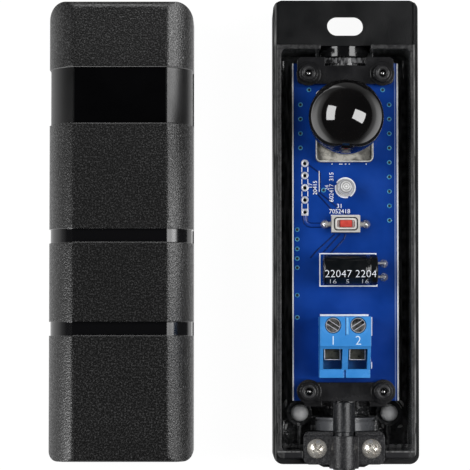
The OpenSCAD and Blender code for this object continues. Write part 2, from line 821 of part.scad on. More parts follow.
module lens_cup() color([0.06, 0.06, 0.07]) above_board(lens_x, lens_y, 0) difference() {
    union() {
        translate([0, 0, tray_floor_t]) cylinder(r = cup_foot_r, h = cup_rim_z - tray_floor_t);
        translate([0, 0, cup_foot_top]) cylinder(r1 = cup_foot_r, r2 = cup_rim_r, h = cup_rim_z - cup_foot_top);
        translate([0, 0, cup_rim_z]) cylinder(r = cup_rim_r, h = cup_top - cup_rim_z);
    }
    cylinder(r = cup_bore_r, h = cup_top);
    intersection() {
        translate([0, 0, lens_rise]) sphere(r = lens_d / 2 + running_gap);
        translate([0, 0, lens_cut]) cylinder(r = lens_d, h = lens_d);
    }
}

module ball_lens() color([0.02, 0.02, 0.02]) above_board(lens_x, lens_y, 0) difference() {
    intersection() {
        translate([0, 0, lens_rise]) sphere(d = lens_d);
        translate([0, 0, lens_cut]) cylinder(r = lens_d, h = 2 * lens_d);
    }
    translate([0, 0, lens_rise]) sphere(r = lens_d / 2 - lens_shell_t);
}

// A round-nosed diode standing on a flange
module diode(r, flange_r, flange_h, body_h) {
    cylinder(r = flange_r, h = flange_h);
    cylinder(r = r, h = body_h);
    translate([0, 0, body_h]) sphere(r = r);
}

module ir_emitter() color([0.2, 0.18, 0.3]) above_board(lens_x, lens_y, tray_floor_t)
    diode(emitter_r, emitter_flange_r, emitter_flange_h, emitter_body_h);

module emitter_leads() color([0.8, 0.8, 0.78]) lead_pair(lens_x, lens_y, tray_floor_t);

module indicator_led() color([0.9, 0.9, 0.88, 0.8])
    above_board(0, led_y, 0) diode(led_d / 2, led_flange_r, led_flange_h, led_body_h);

module indicator_leads() color([0.8, 0.8, 0.78]) lead_pair(0, led_y, 0);

// Switch

module switch_window(w, l, z_from, z_to) above_board(0, switch_y, z_from)
    translate([-w / 2, -l / 2, 0]) cube([w, l, z_to - z_from]);

module switch_case() color([0.85, 0.83, 0.76]) difference() {
    switch_window(switch_w, switch_l, 0, switch_case_h);
    switch_window(button_w + 2 * (button_flange + button_gap), button_l + 2 * (button_flange + button_gap),
        button_pocket_z, switch_case_h + over);
}

module switch_plate() color([0.8, 0.8, 0.78]) difference() {
    switch_window(switch_w, switch_l, switch_case_h, switch_case_h + switch_plate_t);
    switch_window(button_w + 2 * button_gap, button_l + 2 * button_gap,
        switch_case_h - over, switch_case_h + over);
}

module switch_button() color([0.75, 0.06, 0.05]) {
    switch_window(button_w, button_l, button_foot_z, button_top);
    switch_window(button_w + 2 * button_flange, button_l + 2 * button_flange,
        button_foot_z, button_foot_z + button_flange_t);
}

module switch_leads() color([0.8, 0.8, 0.78]) both_sides() {
    above_board(0, switch_y - switch_lead_w / 2, 0)
        translate([switch_w / 2, 0, 0]) cube([switch_lead_reach - switch_w / 2, switch_lead_w, switch_lead_t]);
    translate([switch_lead_x, switch_y, board_z - lead_below])
        cylinder(d = lead_d, h = lead_below + board_t + switch_lead_t / 2);
}

// Capacitor

module along_cap(r, x_from, x_to)
    translate([x_from, cap_y, cap_z]) rotate([0, 90, 0]) cylinder(r = r, h = x_to - x_from);

module capacitor_sleeve() color([0.04, 0.04, 0.05]) difference() {
    along_cap(cap_d / 2, cap_left, cap_right);
    along_cap(cap_d / 2 - cap_sleeve_t, cap_left + cap_sleeve_t, cap_right - cap_sleeve_t);
    along_cap(cap_can_r - cap_lip, cap_left - over, cap_right + over);
}

module capacitor_can() color([0.72, 0.73, 0.74]) difference() {
    along_cap(cap_can_r, cap_left + cap_sleeve_t, cap_right - cap_sleeve_t);
    along_cap(cap_can_r - cap_mouth_t, cap_right - cap_sleeve_t - cap_bung_l, cap_right + over);
}

module capacitor_bung() color([0.1, 0.1, 0.1]) along_cap(cap_can_r - cap_mouth_t - cap_fit,
    cap_right - cap_sleeve_t - cap_bung_l, cap_right - cap_sleeve_t - cap_bung_sink);

// One lead, which runs out of the bung, bends and goes down through the board
module capacitor_lead() {
    along_cap(lead_d / 2, cap_right - cap_sleeve_t - cap_bung_sink, cap_lead_x);
    translate([cap_lead_x, cap_y, cap_z]) sphere(d = lead_d);
    translate([cap_lead_x, cap_y, board_z - lead_below]) cylinder(d = lead_d, h = cap_z - board_z + lead_below);
}

module capacitor_leads() color([0.8, 0.8, 0.78]) for (side = [-1, 1])
    translate([0, side * cap_lead_pitch / 2, 0]) capacitor_lead();

// Terminal block

module pole_place(side) translate([terminal_x + side * pole_pitch / 2, 0, board_top]) children();

module pole_places() {
    pole_place(-1) children();
    pole_place(1) children();
}

module terminal_profile() polygon([
    [terminal_back, 0], [terminal_back, terminal_h], [step_y, terminal_h], [step_y, terminal_h - step_drop],
    [lip_back, lip_h], [terminal_front, lip_h], [terminal_front, 0]]);

module terminal_housing() color([0.1, 0.42, 0.85]) difference() {
    translate([terminal_x - terminal_w / 2, 0, board_top]) rotate([90, 0, 90])
        linear_extrude(terminal_w) terminal_profile();
    pole_places() {
        span([-channel_w / 2, wire_gap_back - over, channel_floor],
            [channel_w / 2, contact_leg_back, channel_top]);
        span([-wire_gap_w / 2, wire_gap_front, channel_floor], [wire_gap_w / 2, wire_gap_back, terminal_h]);
        translate([0, clamp_y, head_well_floor]) cylinder(d = clamp_head_d + 2 * head_well_gap, h = terminal_h);
        translate([0, clamp_y, channel_top - over])
            cylinder(d = clamp_shank_d + 2 * head_well_gap, h = terminal_h);
        translate([0, contact_leg_back - contact_leg_t / 2, -over])
            cylinder(d = contact_hole_d, h = channel_floor + 2 * over);
    }
    span([terminal_x - lip_groove_w / 2, terminal_front - over, board_top + lip_h - lip_groove_depth],
        [terminal_x + lip_groove_w / 2, lip_back, board_top + lip_h + over]);
}

module clamp_screw(side) color([0.7, 0.7, 0.68]) pole_place(side) translate([0, clamp_y, 0]) difference() {
    union() {
        translate([0, 0, clamp_head_z]) cylinder(d = clamp_head_d, h = clamp_head_h);
        translate([0, 0, clamp_shank_foot])
            cylinder(d = clamp_shank_d, h = clamp_head_z + clamp_head_h / 2 - clamp_shank_foot);
    }
    rotate(side * driver_slot_turn) span(
        [-clamp_head_d, -driver_slot_w / 2, clamp_head_z + clamp_head_h - driver_slot_depth],
        [clamp_head_d, driver_slot_w / 2, terminal_h + over]);
}

// A box clamp: a square ring around the wire, with a longer top plate that the screw goes through
module clamp_cage(side) color([0.6, 0.58, 0.52]) pole_place(side) difference() {
    union() {
        span([-cage_w / 2, cage_front, cage_foot], [cage_w / 2, cage_ring_back, cage_foot + cage_h]);
        span([-cage_w / 2, cage_front, cage_foot + cage_h - cage_t],
            [cage_w / 2, cage_back, cage_foot + cage_h]);
    }
    span([cage_t - cage_w / 2, cage_front - over, cage_foot + cage_t],
        [cage_w / 2 - cage_t, cage_back + over, cage_foot + cage_h - cage_t]);
    translate([0, clamp_y, cage_foot]) cylinder(d = clamp_shank_d + 2 * running_gap, h = cage_h + over);
}

module clamp_screw_left() clamp_screw(-1);
module clamp_screw_right() clamp_screw(1);
module clamp_cage_left() clamp_cage(-1);
module clamp_cage_right() clamp_cage(1);

// A contact strip inside each cage, with a leg down through the board
module terminal_contacts() color([0.8, 0.78, 0.7]) pole_places() {
    span([-contact_w / 2, contact_front, contact_z], [contact_w / 2, contact_leg_back, contact_z + contact_t]);
    span([-contact_leg_w / 2, contact_leg_back - contact_leg_t, -board_t - lead_below],
        [contact_leg_w / 2, contact_leg_back, contact_z + contact_t]);
}

// Rear of the board

module driver_chip() color([0.07, 0.07, 0.07]) translate([0, chip_y, board_z - chip_t]) linear_extrude(chip_t)
    round_rect(chip_w, chip_l, chip_r);

module solder_cone() translate([0, 0, board_z - joint_h]) difference() {
    cylinder(r1 = joint_tip_r, r2 = joint_r, h = joint_h);
    translate([0, 0, -over]) cylinder(d = lead_d, h = joint_h + 2 * over);
}

module solder_joints() color([0.75, 0.76, 0.76]) {
    lead_places(lens_x, lens_y, lead_pitch) solder_cone();
    lead_places(0, led_y, lead_pitch) solder_cone();
    lead_places(0, switch_y, 2 * switch_lead_x) solder_cone();
    cap_lead_places() solder_cone();
}

// Cover

// The cover's cross-section, drawn a given distance inside its outer surface
module cover_section(inset) difference() {
    translate([inset - case_w / 2, 0]) square([case_w - 2 * inset, cover_h - inset]);
    both_sides() translate([shoulder_x, shoulder_z]) difference() {
        square(case_w);
        circle(shoulder_r - inset, $fn = fine_fn);
    }
}

// The cover's outline from the front
module cover_plan(inset) {
    half_w = case_w / 2 - inset;
    half_l = cover_l / 2 - inset;
    foot_half = half_w - cover_foot_r;
    top_half = half_w - cover_top_r;
    straight_l = 2 * half_l - cover_foot_r - cover_top_r;
    translate([-half_w, cover_foot_r - half_l]) square([2 * half_w, straight_l]);
    translate([-foot_half, -half_l]) square([2 * foot_half, 2 * half_l - cover_top_r]);
    translate([-top_half, 0]) square([2 * top_half, half_l]);
    both_sides() {
        translate([foot_half, cover_foot_r - half_l]) circle(cover_foot_r);
        translate([top_half, half_l - cover_top_r]) circle(cover_top_r);
    }
}

// The cover's outline from the side, with its front ends rounded
module cover_side_view(inset) {
    half_l = cover_l / 2 - inset;
    top = cover_h - inset;
    translate([-half_l, 0]) square([2 * half_l, top - cover_end_r]);
    translate([cover_end_r - half_l, 0]) square([2 * (half_l - cover_end_r), top]);
    both_sides() translate([half_l - cover_end_r, top - cover_end_r]) circle(cover_end_r);
}

module cover_solid(inset) intersection() {
    slice_y(-cover_l / 2, cover_l / 2) cover_section(inset);
    linear_extrude(cover_h) cover_plan(inset);
    translate([-case_w / 2, 0, 0]) rotate([90, 0, 90]) linear_extrude(case_w) cover_side_view(inset);
}

// The skin between two depths, over a stretch of the cover's length and above a height
module skin(y_from, y_to, foot, outer_inset, inner_inset) difference() {
    slice_y(y_from, y_to) intersection() {
        cover_section(outer_inset);
        translate([-case_w / 2, foot]) square([case_w, cover_h]);
    }
    slice_y(y_from - over, y_to + over) cover_section(inner_inset);
}

module cover_hooks(y, l) both_sides() span([case_w / 2 - lip_t - hook_depth, y - l / 2 + hook_gap, hook_z],
    [case_w / 2 - lip_t / 2, y + l / 2 - hook_gap, hook_z + hook_h]);

// The way out for the cable saddle in the cover's foot
module saddle_cutout() translate([0, 0, -case_h]) {
    span([cable_x - saddle_w / 2 - hump_relief, -cover_top - over, case_h - over],
        [cable_x + saddle_w / 2 + hump_relief, cover_t - cover_top + over, saddle_top + hump_relief]);
    along_y(cable_x, barrel_z, hump_r + hump_relief, cover_t - cover_top + over, -cover_top - over);
}

module front_cover() color([0.16, 0.16, 0.165]) translate([cover_x, 0, 0]) {
    difference() {
        cover_solid(0);
        cover_solid(cover_t);
        translate([0, 0, -over]) linear_extrude(rabbet_h + over) cover_plan(lip_t);
        skin(window_from, window_to, window_foot, -over, band_depth + window_t);
        skin(window_from + window_rim, window_to - window_rim, window_opening_foot, -over, cover_t + over);
        skin(upper_band_top - band_l, upper_band_top, band_foot, -over, band_depth);
        skin(lower_band_top - band_l, lower_band_top, band_foot, -over, band_depth);
        saddle_cutout();
    }
    cover_hooks(long_snap_y, long_snap_l);
    cover_hooks(short_snap_y, short_snap_l);
}

module beam_window() color([0.02, 0.02, 0.02, 0.9]) translate([cover_x, 0, 0])
    skin(window_from + window_gap, window_to - window_gap, window_foot + window_gap,
        band_depth, band_depth + window_t - window_gap);

back_casing();
upper_pivot_bush();
lower_pivot_bush();
fixing_plugs();
cable_grommet();
cable_saddle();
saddle_screws();
circuit_board();
upper_bracket();
lower_bracket();
bracket_pins();
lens_tray();
lens_cup();
ball_lens();
ir_emitter();
emitter_leads();
indicator_led();
indicator_leads();
switch_case();
switch_plate();
switch_button();
switch_leads();
capacitor_can();
capacitor_sleeve();
capacitor_bung();
capacitor_leads();
terminal_housing();
terminal_contacts();
clamp_screw_left();
clamp_screw_right();
clamp_cage_left();
clamp_cage_right();
driver_chip();
solder_joints();
front_cover();
beam_window();
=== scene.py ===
import math

import bmesh
import bpy
import numpy as np
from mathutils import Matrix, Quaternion, Vector


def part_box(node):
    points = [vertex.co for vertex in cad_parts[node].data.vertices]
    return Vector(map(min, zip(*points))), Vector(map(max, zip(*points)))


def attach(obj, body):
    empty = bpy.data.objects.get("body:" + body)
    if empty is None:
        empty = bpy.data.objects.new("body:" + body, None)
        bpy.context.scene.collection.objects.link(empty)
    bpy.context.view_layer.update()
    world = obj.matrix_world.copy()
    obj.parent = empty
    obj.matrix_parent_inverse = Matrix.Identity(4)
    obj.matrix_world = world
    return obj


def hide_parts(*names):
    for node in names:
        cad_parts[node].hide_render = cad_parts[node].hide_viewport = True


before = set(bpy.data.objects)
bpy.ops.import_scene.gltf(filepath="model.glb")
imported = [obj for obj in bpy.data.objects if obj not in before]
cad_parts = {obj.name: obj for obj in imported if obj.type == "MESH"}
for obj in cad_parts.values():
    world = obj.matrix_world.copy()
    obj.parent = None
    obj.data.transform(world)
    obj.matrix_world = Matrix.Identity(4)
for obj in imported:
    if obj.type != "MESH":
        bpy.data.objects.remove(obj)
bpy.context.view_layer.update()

MM = 0.001
TURN = 2 * math.pi
COVER = ("front_cover", "beam_window")


def corners(node):
    """The lowest and highest corner of a CAD node in millimetres."""
    low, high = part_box(node)
    return np.array(low) / MM, np.array(high) / MM


board_low, board_high = corners("circuit_board")
led_low, led_high = corners("indicator_led")
LED_X, LED_Y = (led_low[0] + led_high[0]) / 2, (led_low[1] + led_high[1]) / 2
# The upper face of the board, and the floor of the room behind it
TOP, FLOOR = board_high[2], 2.0
# From one header pad to the next
PITCH = 2.54


# Shader nodes

class Nodes:
    """The node tree of a world or a material, with short calls for its nodes. A value may be a number or another
    node's output. Lengths are in millimetres, and patterns read the coordinates named by place."""

    def __init__(self, owner, output, place):
        owner.use_nodes = True
        self.tree = owner.node_tree
        self.tree.nodes.clear()
        self.out = self.node(output).inputs[0]
        self.place = self.node("ShaderNodeTexCoord").outputs[place]
        self.axes = None

    def node(self, kind, operation=None):
        """A new node, set to an operation where it has one."""
        node = self.tree.nodes.new(kind)
        if operation:
            node.operation = operation
        return node

    def feed(self, socket, value):
        """Links a socket to an output, or sets it to a plain value."""
        if isinstance(value, bpy.types.NodeSocket):
            self.tree.links.new(value, socket)
        else:
            socket.default_value = value

    def math(self, operation, *values):
        """The result of a Math node."""
        node = self.node("ShaderNodeMath", operation)
        for socket, value in zip(node.inputs, values):
            self.feed(socket, value)
        return node.outputs[0]

    def span(self, source, low, high, start=0.3, end=0.7, curve="LINEAR"):
        """Carries source from start..end to low..high."""
        node = self.node("ShaderNodeMapRange")
        node.interpolation_type = curve
        for name, value in zip(("Value", "From Min", "From Max", "To Min", "To Max"), (source, start, end, low, high)):
            self.feed(node.inputs[name], value)
        return node.outputs["Result"]

    def level(self, share, first, second):
        """A number from first to second by share."""
        node = self.node("ShaderNodeMix")
        for name, value in zip(("Factor", "A", "B"), (share, first, second)):
            self.feed(node.inputs[name], value)
        return node.outputs["Result"]

    def axis(self, name):
        """One of the coordinates, in metres."""
        if self.axes is None:
            self.axes = self.node("ShaderNodeSeparateXYZ")
            self.feed(self.axes.inputs[0], self.place)
        return self.axes.outputs[name]

    def within(self, name, low, high):
        """1 where the coordinate lies between low and high, and 0 elsewhere."""
        return self.math("COMPARE", self.axis(name), (low + high) / 2 * MM, (high - low) / 2 * MM)

    def fold(self, operation, shares):
        """The shares joined one after the other by an operation."""
        total = shares[0]
        for share in shares[1:]:
            total = self.math(operation, total, share)
        return total

    def all_of(self, *shares):
        """1 where every share is 1, and 0 elsewhere."""
        return self.fold("MULTIPLY", shares)

    def any_of(self, *shares):
        """1 where at least one share is 1, and 0 elsewhere."""
        return self.fold("MAXIMUM", shares)

    def block(self, **ranges):
        """1 inside a box, given as the two ends of some of its coordinates, and 0 elsewhere."""
        return self.all_of(*(self.within(name, *ends) for name, ends in ranges.items()))

    def sideways(self, low, high):
        """How far the place lies to the left or right, from low where it lies along the part to high."""
        flat = self.node("ShaderNodeVectorMath", "NORMALIZE")
        axes = self.node("ShaderNodeSeparateXYZ")
        self.feed(flat.inputs[0], self.place)
        self.feed(axes.inputs[0], flat.outputs["Vector"])
        return self.span(self.math("ABSOLUTE", axes.outputs["X"]), low, high, 0.5, 0.95, "SMOOTHSTEP")


def put(name, data):
    """A new object in the scene."""
    thing = bpy.data.objects.new(name, data)
    bpy.context.scene.collection.objects.link(thing)
    return thing


# Camera and light

def make_camera(eye, aim, lens):
    """A camera at eye that looks at aim, both in millimetres, with the object's +Y upright in the picture."""
    data = bpy.data.cameras.new("camera")
    data.lens = lens
    data.sensor_width = 36
    data.clip_start = 0.01
    data.clip_end = 20
    camera = put("camera", data)
    camera.location = Vector(eye) * MM
    camera.rotation_euler = (math.atan2(aim[1] - eye[1], eye[2] - aim[2]), 0, 0)
    bpy.context.scene.camera = camera


def make_softbox(name, azimuth, elevation, reach, width, height, radiance, aim, state, roll):
    """A rectangular lamp that faces aim, a place in millimetres, from azimuth (from +X towards +Y) and elevation, in
    degrees, turned by roll about its own axis. reach, width and height are in metres. Its power is pi times its area
    times its radiance, as for any evenly bright flat lamp. With the state INCLUDE it lights, and is shaded by, only
    the cover, and with EXCLUDE it lights all but the cover."""
    data = bpy.data.lights.new(name, "AREA")
    data.shape = "RECTANGLE"
    data.size = width
    data.size_y = height
    data.energy = math.pi * width * height * radiance
    lamp = put(name, data)
    a, e = math.radians(azimuth), math.radians(elevation)
    towards = Vector((math.cos(a) * math.cos(e), math.sin(a) * math.cos(e), math.sin(e)))
    lamp.location = Vector(aim) * MM + towards * reach
    turned = towards.to_track_quat("Z", "Y") @ Quaternion((0, 0, 1), math.radians(roll))
    lamp.rotation_euler = turned.to_euler()
    lamp.visible_camera = False
    group = bpy.data.collections.new(name + "_nodes")
    for node in COVER:
        group.objects.link(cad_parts[node])
    for entry in group.collection_objects:
        entry.light_linking.link_state = state
    lamp.light_linking.receiver_collection = group
    if state == "INCLUDE":
        lamp.light_linking.blocker_collection = group


def make_world(ambient, ceiling):
    """A surround that is white to the camera. In reflections it is light low down on the left and right, darker
    towards the two ends of the part, and falls to a dark ceiling. For everything else it is a weak even light."""
    world = bpy.data.worlds.new("surround")
    bpy.context.scene.world = world
    nodes = Nodes(world, "ShaderNodeOutputWorld", "Generated")
    path = nodes.node("ShaderNodeLightPath").outputs
    fall = nodes.span(nodes.axis("Z"), 1, 0, 0.02, 0.16, "SMOOTHSTEP")
    overhead = nodes.math("MAXIMUM", nodes.math("MULTIPLY", fall, nodes.sideways(0.04, 0.3)), ceiling)
    mirrored = nodes.level(path["Is Glossy Ray"], ambient, overhead)
    through = nodes.math("MAXIMUM", path["Is Camera Ray"], path["Is Transmission Ray"])
    light = nodes.node("ShaderNodeBackground")
    nodes.feed(light.inputs["Strength"], nodes.level(through, mirrored, 1))
    nodes.feed(nodes.out, light.outputs[0])


def make_floor(size, drop, strip):
    """A square white floor just under the part, its size and drop in metres. The camera sees it white with a faint
    shadow. Reflections see it light on the left and right and in a strip between the two halves of the part, dimmer
    further out. The light that it throws back on the part is that of plain white paper."""
    half = size / 2
    mesh = bpy.data.meshes.new("floor")
    mesh.from_pydata([(-half, -half, drop), (half, -half, drop), (half, half, drop), (-half, half, drop)], [],
                     [(0, 1, 2, 3)])
    floor = put("floor", mesh)
    material = bpy.data.materials.new("floor_white")
    nodes = Nodes(material, "ShaderNodeOutputMaterial", "Object")
    path = nodes.node("ShaderNodeLightPath").outputs
    through = nodes.math("MAXIMUM", path["Is Camera Ray"], path["Is Transmission Ray"])
    far = nodes.node("ShaderNodeVectorMath", "LENGTH")
    nodes.feed(far.inputs[0], nodes.place)
    dimmer = nodes.span(far.outputs["Value"], 1, 0.25, 0.02, 0.22, "SMOOTHERSTEP")
    lit = nodes.math("MAXIMUM", nodes.within("X", *strip), nodes.sideways(0.06, 1.0))
    glow = nodes.node("ShaderNodeEmission")
    nodes.feed(glow.inputs["Strength"], nodes.level(through, nodes.math("MULTIPLY", lit, dimmer), 0.95))
    paper, shade = nodes.node("ShaderNodeBsdfDiffuse"), nodes.node("ShaderNodeBsdfDiffuse")
    paper.inputs["Color"].default_value = (0.8, 0.8, 0.8, 1)
    shade.inputs["Color"].default_value = (0.1, 0.1, 0.1, 1)
    both = nodes.node("ShaderNodeAddShader")
    choose = nodes.node("ShaderNodeMixShader")
    for socket, value in ((both.inputs[0], glow.outputs[0]), (both.inputs[1], shade.outputs[0]),
                          (choose.inputs[0], nodes.math("MAXIMUM", through, path["Is Glossy Ray"])),
                          (choose.inputs[1], paper.outputs[0]), (choose.inputs[2], both.outputs[0]),
                          (nodes.out, choose.outputs[0])):
        nodes.feed(socket, value)
    mesh.materials.append(material)


make_camera(eye=(-22.9, -22.2, 494.0), aim=(-22.9, -0.8, 14.0), lens=178.1)
# The base and the cover are lit apart, each as if it lay alone. Name, azimuth, elevation, reach, width, height,
# radiance, aim, state and roll of each lamp
for name, *where, aim, state, roll in (
        ("left", 170.5, 39.0, 0.5, 0.36, 0.25, 5.2, (0, 23, 21), "EXCLUDE", 0),
        ("right", -4.6, 52.0, 0.5, 0.27, 0.34, 5.6, (0, 23, 21), "EXCLUDE", -17),
        ("cover_left", 208.0, 21.0, 0.32, 0.22, 0.16, 11.5, (-46.6, -22, 12), "INCLUDE", 0),
        ("cover_right", 14.0, 21.0, 0.32, 0.24, 0.16, 6.2, (-46.6, 22, 12), "INCLUDE", 0),
        ("cover_edge", -3.0, 8.0, 0.3, 0.4, 0.1, 3.0, (-46.6, 0, 12), "INCLUDE", 0),
        ("cover_top", 88.0, 40.0, 0.2, 0.2, 0.12, 5.0, (-46.6, 48, 15), "INCLUDE", 0)):
    make_softbox(name + "_softbox", *where, aim, state, roll)
make_world(ambient=0.3, ceiling=0.012)
make_floor(size=6.0, drop=-0.0002, strip=(-32.5, -18.5))
bpy.context.scene.view_settings.view_transform = "Standard"


# Finishes

coats = {}


class Finish(Nodes):
    """One material around a Principled shader, kept in coats. Its patterns read the piece's own Object coordinates,
    and a colour may be a triple, one number for a grey, or another node's output."""

    def __init__(self, name, **sockets):
        coats[name] = bpy.data.materials.new(name)
        super().__init__(coats[name], "ShaderNodeOutputMaterial", "Object")
        self.shader = self.node("ShaderNodeBsdfPrincipled")
        self.feed(self.out, self.shader.outputs[0])
        for socket, value in sockets.items():
            self.to(socket.replace("_", " "), value)

    def to(self, socket, value):
        """Feeds one of the shader's sockets."""
        self.feed(self.shader.inputs[socket], value)

    def noise(self, size, detail=2.0, roughness=0.5, stretch=None):
        """Soft noise whose features are about size across, stretched along the axes if asked."""
        place = self.place
        if stretch:
            mapping = self.node("ShaderNodeMapping")
            mapping.inputs["Scale"].default_value = stretch
            self.feed(mapping.inputs["Vector"], place)
            place = mapping.outputs[0]
        node = self.node("ShaderNodeTexNoise")
        for name, value in zip(("Vector", "Scale", "Detail", "Roughness"), (place, 1 / (size * MM), detail, roughness)):
            self.feed(node.inputs[name], value)
        return node.outputs["Fac"]

    def tint(self, share, first, second):
        """A colour from first to second by share."""
        node = self.node("ShaderNodeMix")
        node.data_type = "RGBA"
        self.feed(node.inputs["Factor"], share)
        for socket, colour in ((node.inputs[6], first), (node.inputs[7], second)):
            if isinstance(colour, float):
                colour = (colour,) * 3
            self.feed(socket, (*colour, 1) if isinstance(colour, tuple) else colour)
        return node.outputs[2]

    def blend(self, source, dark, light, start=0.3, end=0.7):
        """A colour that goes from dark to light as source goes from start to end."""
        return self.tint(self.span(source, 0, 1, start, end), dark, light)

    def relief(self, height, depth, strength=1.0, edge=0.0):
        """A bump of depth made by height, over edges rounded by the radius edge, or by an output in metres."""
        node = self.node("ShaderNodeBump")
        self.feed(node.inputs["Distance"], depth * MM)
        self.feed(node.inputs["Strength"], strength)
        self.feed(node.inputs["Height"], height)
        if edge:
            rounded = self.node("ShaderNodeBevel")
            rounded.samples = 6
            self.feed(rounded.inputs["Radius"], edge * MM if isinstance(edge, float) else edge)
            self.feed(node.inputs["Normal"], rounded.outputs[0])
        self.to("Normal", node.outputs[0])


def moulded(name, dark, light, rough, cloud=6.0, grain=0.25, depth=0.02, edge=0.12, **sockets):
    """Moulded plastic: a slow cloud of two tones, a roughness that wanders, and a fine grain."""
    finish = Finish(name, **sockets)
    slow = finish.noise(cloud, 3.0)
    finish.to("Base Color", finish.blend(slow, dark, light))
    finish.to("Roughness", finish.span(slow, *rough))
    finish.relief(finish.noise(grain, 2.0, 0.6), depth, 0.6, edge)


def metal(name, dark, light, rough, grain=0.3, depth=0.02, stretch=None, **sockets):
    """Plated metal: tarnish in clouds and fine tool marks, which may be stretched along an axis. A Metallic below 1
    is for dull, oxidised metal that also scatters light."""
    finish = Finish(name, **{"Metallic": 1.0, **sockets})
    marks = finish.noise(grain, 3.0, 0.6, stretch)
    finish.to("Base Color", finish.blend(finish.noise(1.6, 3.0), dark, light))
    finish.to("Roughness", finish.span(marks, *rough))
    finish.relief(marks, depth, 0.7, 0.06)


def grained(name, dark, light, size):
    """Black plastic with a coarse sparkling grain: light flecks about size across, each a low bump."""
    finish = Finish(name, IOR=1.5)
    grain = finish.noise(size, 1.0, 0.5)
    finish.to("Base Color", finish.blend(grain, dark, light, 0.42, 0.8))
    finish.to("Roughness", finish.span(finish.noise(4.0, 3.0), 0.3, 0.38))
    finish.relief(grain, 0.04, 0.6, 0.2)


def clear(name, colour, transmission, rough, rings=None):
    """Cast resin: clear or tinted, a little cloudy, with faint swirl. rings=(x, y, pitch) adds fine turned rings."""
    finish = Finish(name, IOR=1.5, Transmission_Weight=transmission)
    swirl = finish.noise(0.7, 3.0)
    paler = tuple(min(1.0, c * 1.12) for c in colour)
    finish.to("Roughness", finish.span(swirl, *rough))
    if rings:
        x, y, pitch = rings
        across = finish.math("SUBTRACT", finish.axis("X"), x * MM)
        along = finish.math("SUBTRACT", finish.axis("Y"), y * MM)
        squares = (finish.math("MULTIPLY", side, side) for side in (across, along))
        reach = finish.math("SQRT", finish.math("ADD", *squares))
        wave = finish.math("SINE", finish.math("MULTIPLY", reach, TURN / (pitch * MM)))
        wave = finish.span(finish.math("ADD", wave, finish.math("MULTIPLY", swirl, 1.6)), 0, 1, -0.4, 1.8)
        finish.to("Base Color", finish.tint(wave, tuple(c * 0.35 for c in colour), paler))
        finish.relief(wave, 0.08, 0.8)
    else:
        finish.to("Base Color", finish.blend(swirl, colour, paler))
        finish.relief(swirl, 0.02, 0.3)


def make_casing_black():
    """Satin black outside. The room behind the board is polished, with the ripples of a quick moulding near its foot;
    its colour is lightened with painted light, in streaks of painted reflection, more so near the foot, and with
    painted glints on the ribs there. A rubbed, paler tongue runs round it, darker across the foot, with painted
    highlights along the outer edges on the left and right and across the tongue's foot end."""
    finish = Finish("casing_black", IOR=1.5)
    slow = finish.noise(7.0, 3.0)
    fine = finish.noise(0.22, 2.0, 0.6)
    streaks = finish.noise(0.7, 2.0, 0.6, (1.0, 0.12, 1.0))
    room = finish.block(X=(-13.36, 13.36), Y=(-45.21, 38.01), Z=(1.9, 15.9))
    foot = finish.all_of(room, finish.block(Y=(-45.3, -35.2), Z=(1.9, 7.6)))
    ribs = finish.all_of(room, finish.block(Y=(-45.3, -40.3), Z=(2.15, 6.3)))
    tongue = finish.within("Z", 15.92, 16.1)
    foot_tongue = finish.all_of(tongue, finish.block(Y=(-48.0, -45.5), X=(-12.7, 12.7)))
    # Painted highlights: thin lines along the outer edge of the ledge on the left, of the tongue on the right, and
    # across the tongue's foot end
    highlit_edges = finish.any_of(finish.block(Z=(13.9, 14.1), X=(-14.75, -14.35)),
                            finish.all_of(tongue, finish.within("X", 13.95, 14.3)),
                            finish.all_of(tongue, finish.within("Y", -45.5, -45.2)))
    satin = finish.blend(slow, (0.003, 0.0033, 0.004), (0.0058, 0.0061, 0.007))
    rubbed = finish.blend(finish.noise(0.6, 3.0, 0.7), (0.013, 0.013, 0.014), (0.05, 0.05, 0.051), 0.4, 0.6)
    # The tone of the painted edge highlights
    bright = finish.blend(streaks, 0.04, 0.17, 0.35, 0.6)
    # Painted light and painted reflection: the room's colour is lightened, in streaks along the part
    room_painted_light = finish.blend(streaks, (0.03, 0.032, 0.034), (0.14, 0.145, 0.15), 0.4, 0.65)
    # Painted glints on the ribs near the foot
    rib_glints = finish.blend(streaks, (0.06, 0.062, 0.065), (0.42, 0.425, 0.43), 0.35, 0.65)
    # Near the foot the room is lightened further with painted light
    inside = finish.tint(ribs, finish.tint(foot, room_painted_light, (0.06, 0.062, 0.065)), rib_glints)
    outside = finish.tint(foot_tongue, finish.tint(tongue, satin, rubbed), (0.009, 0.009, 0.011))
    outside = finish.tint(highlit_edges, outside, bright)
    finish.to("Base Color", finish.tint(room, outside, inside))
    finish.to("Roughness", finish.level(room, finish.span(slow, 0.28, 0.38), finish.span(slow, 0.1, 0.2)))
    ripples = finish.math("MULTIPLY", foot, finish.span(finish.noise(1.9, 2.0, 0.6), 0, 1.0))
    height = finish.math("ADD", finish.math("MULTIPLY", fine, 0.04), ripples)
    finish.relief(height, 0.6, 1.0, finish.level(finish.any_of(room, tongue), 0.00008, 0.0004))


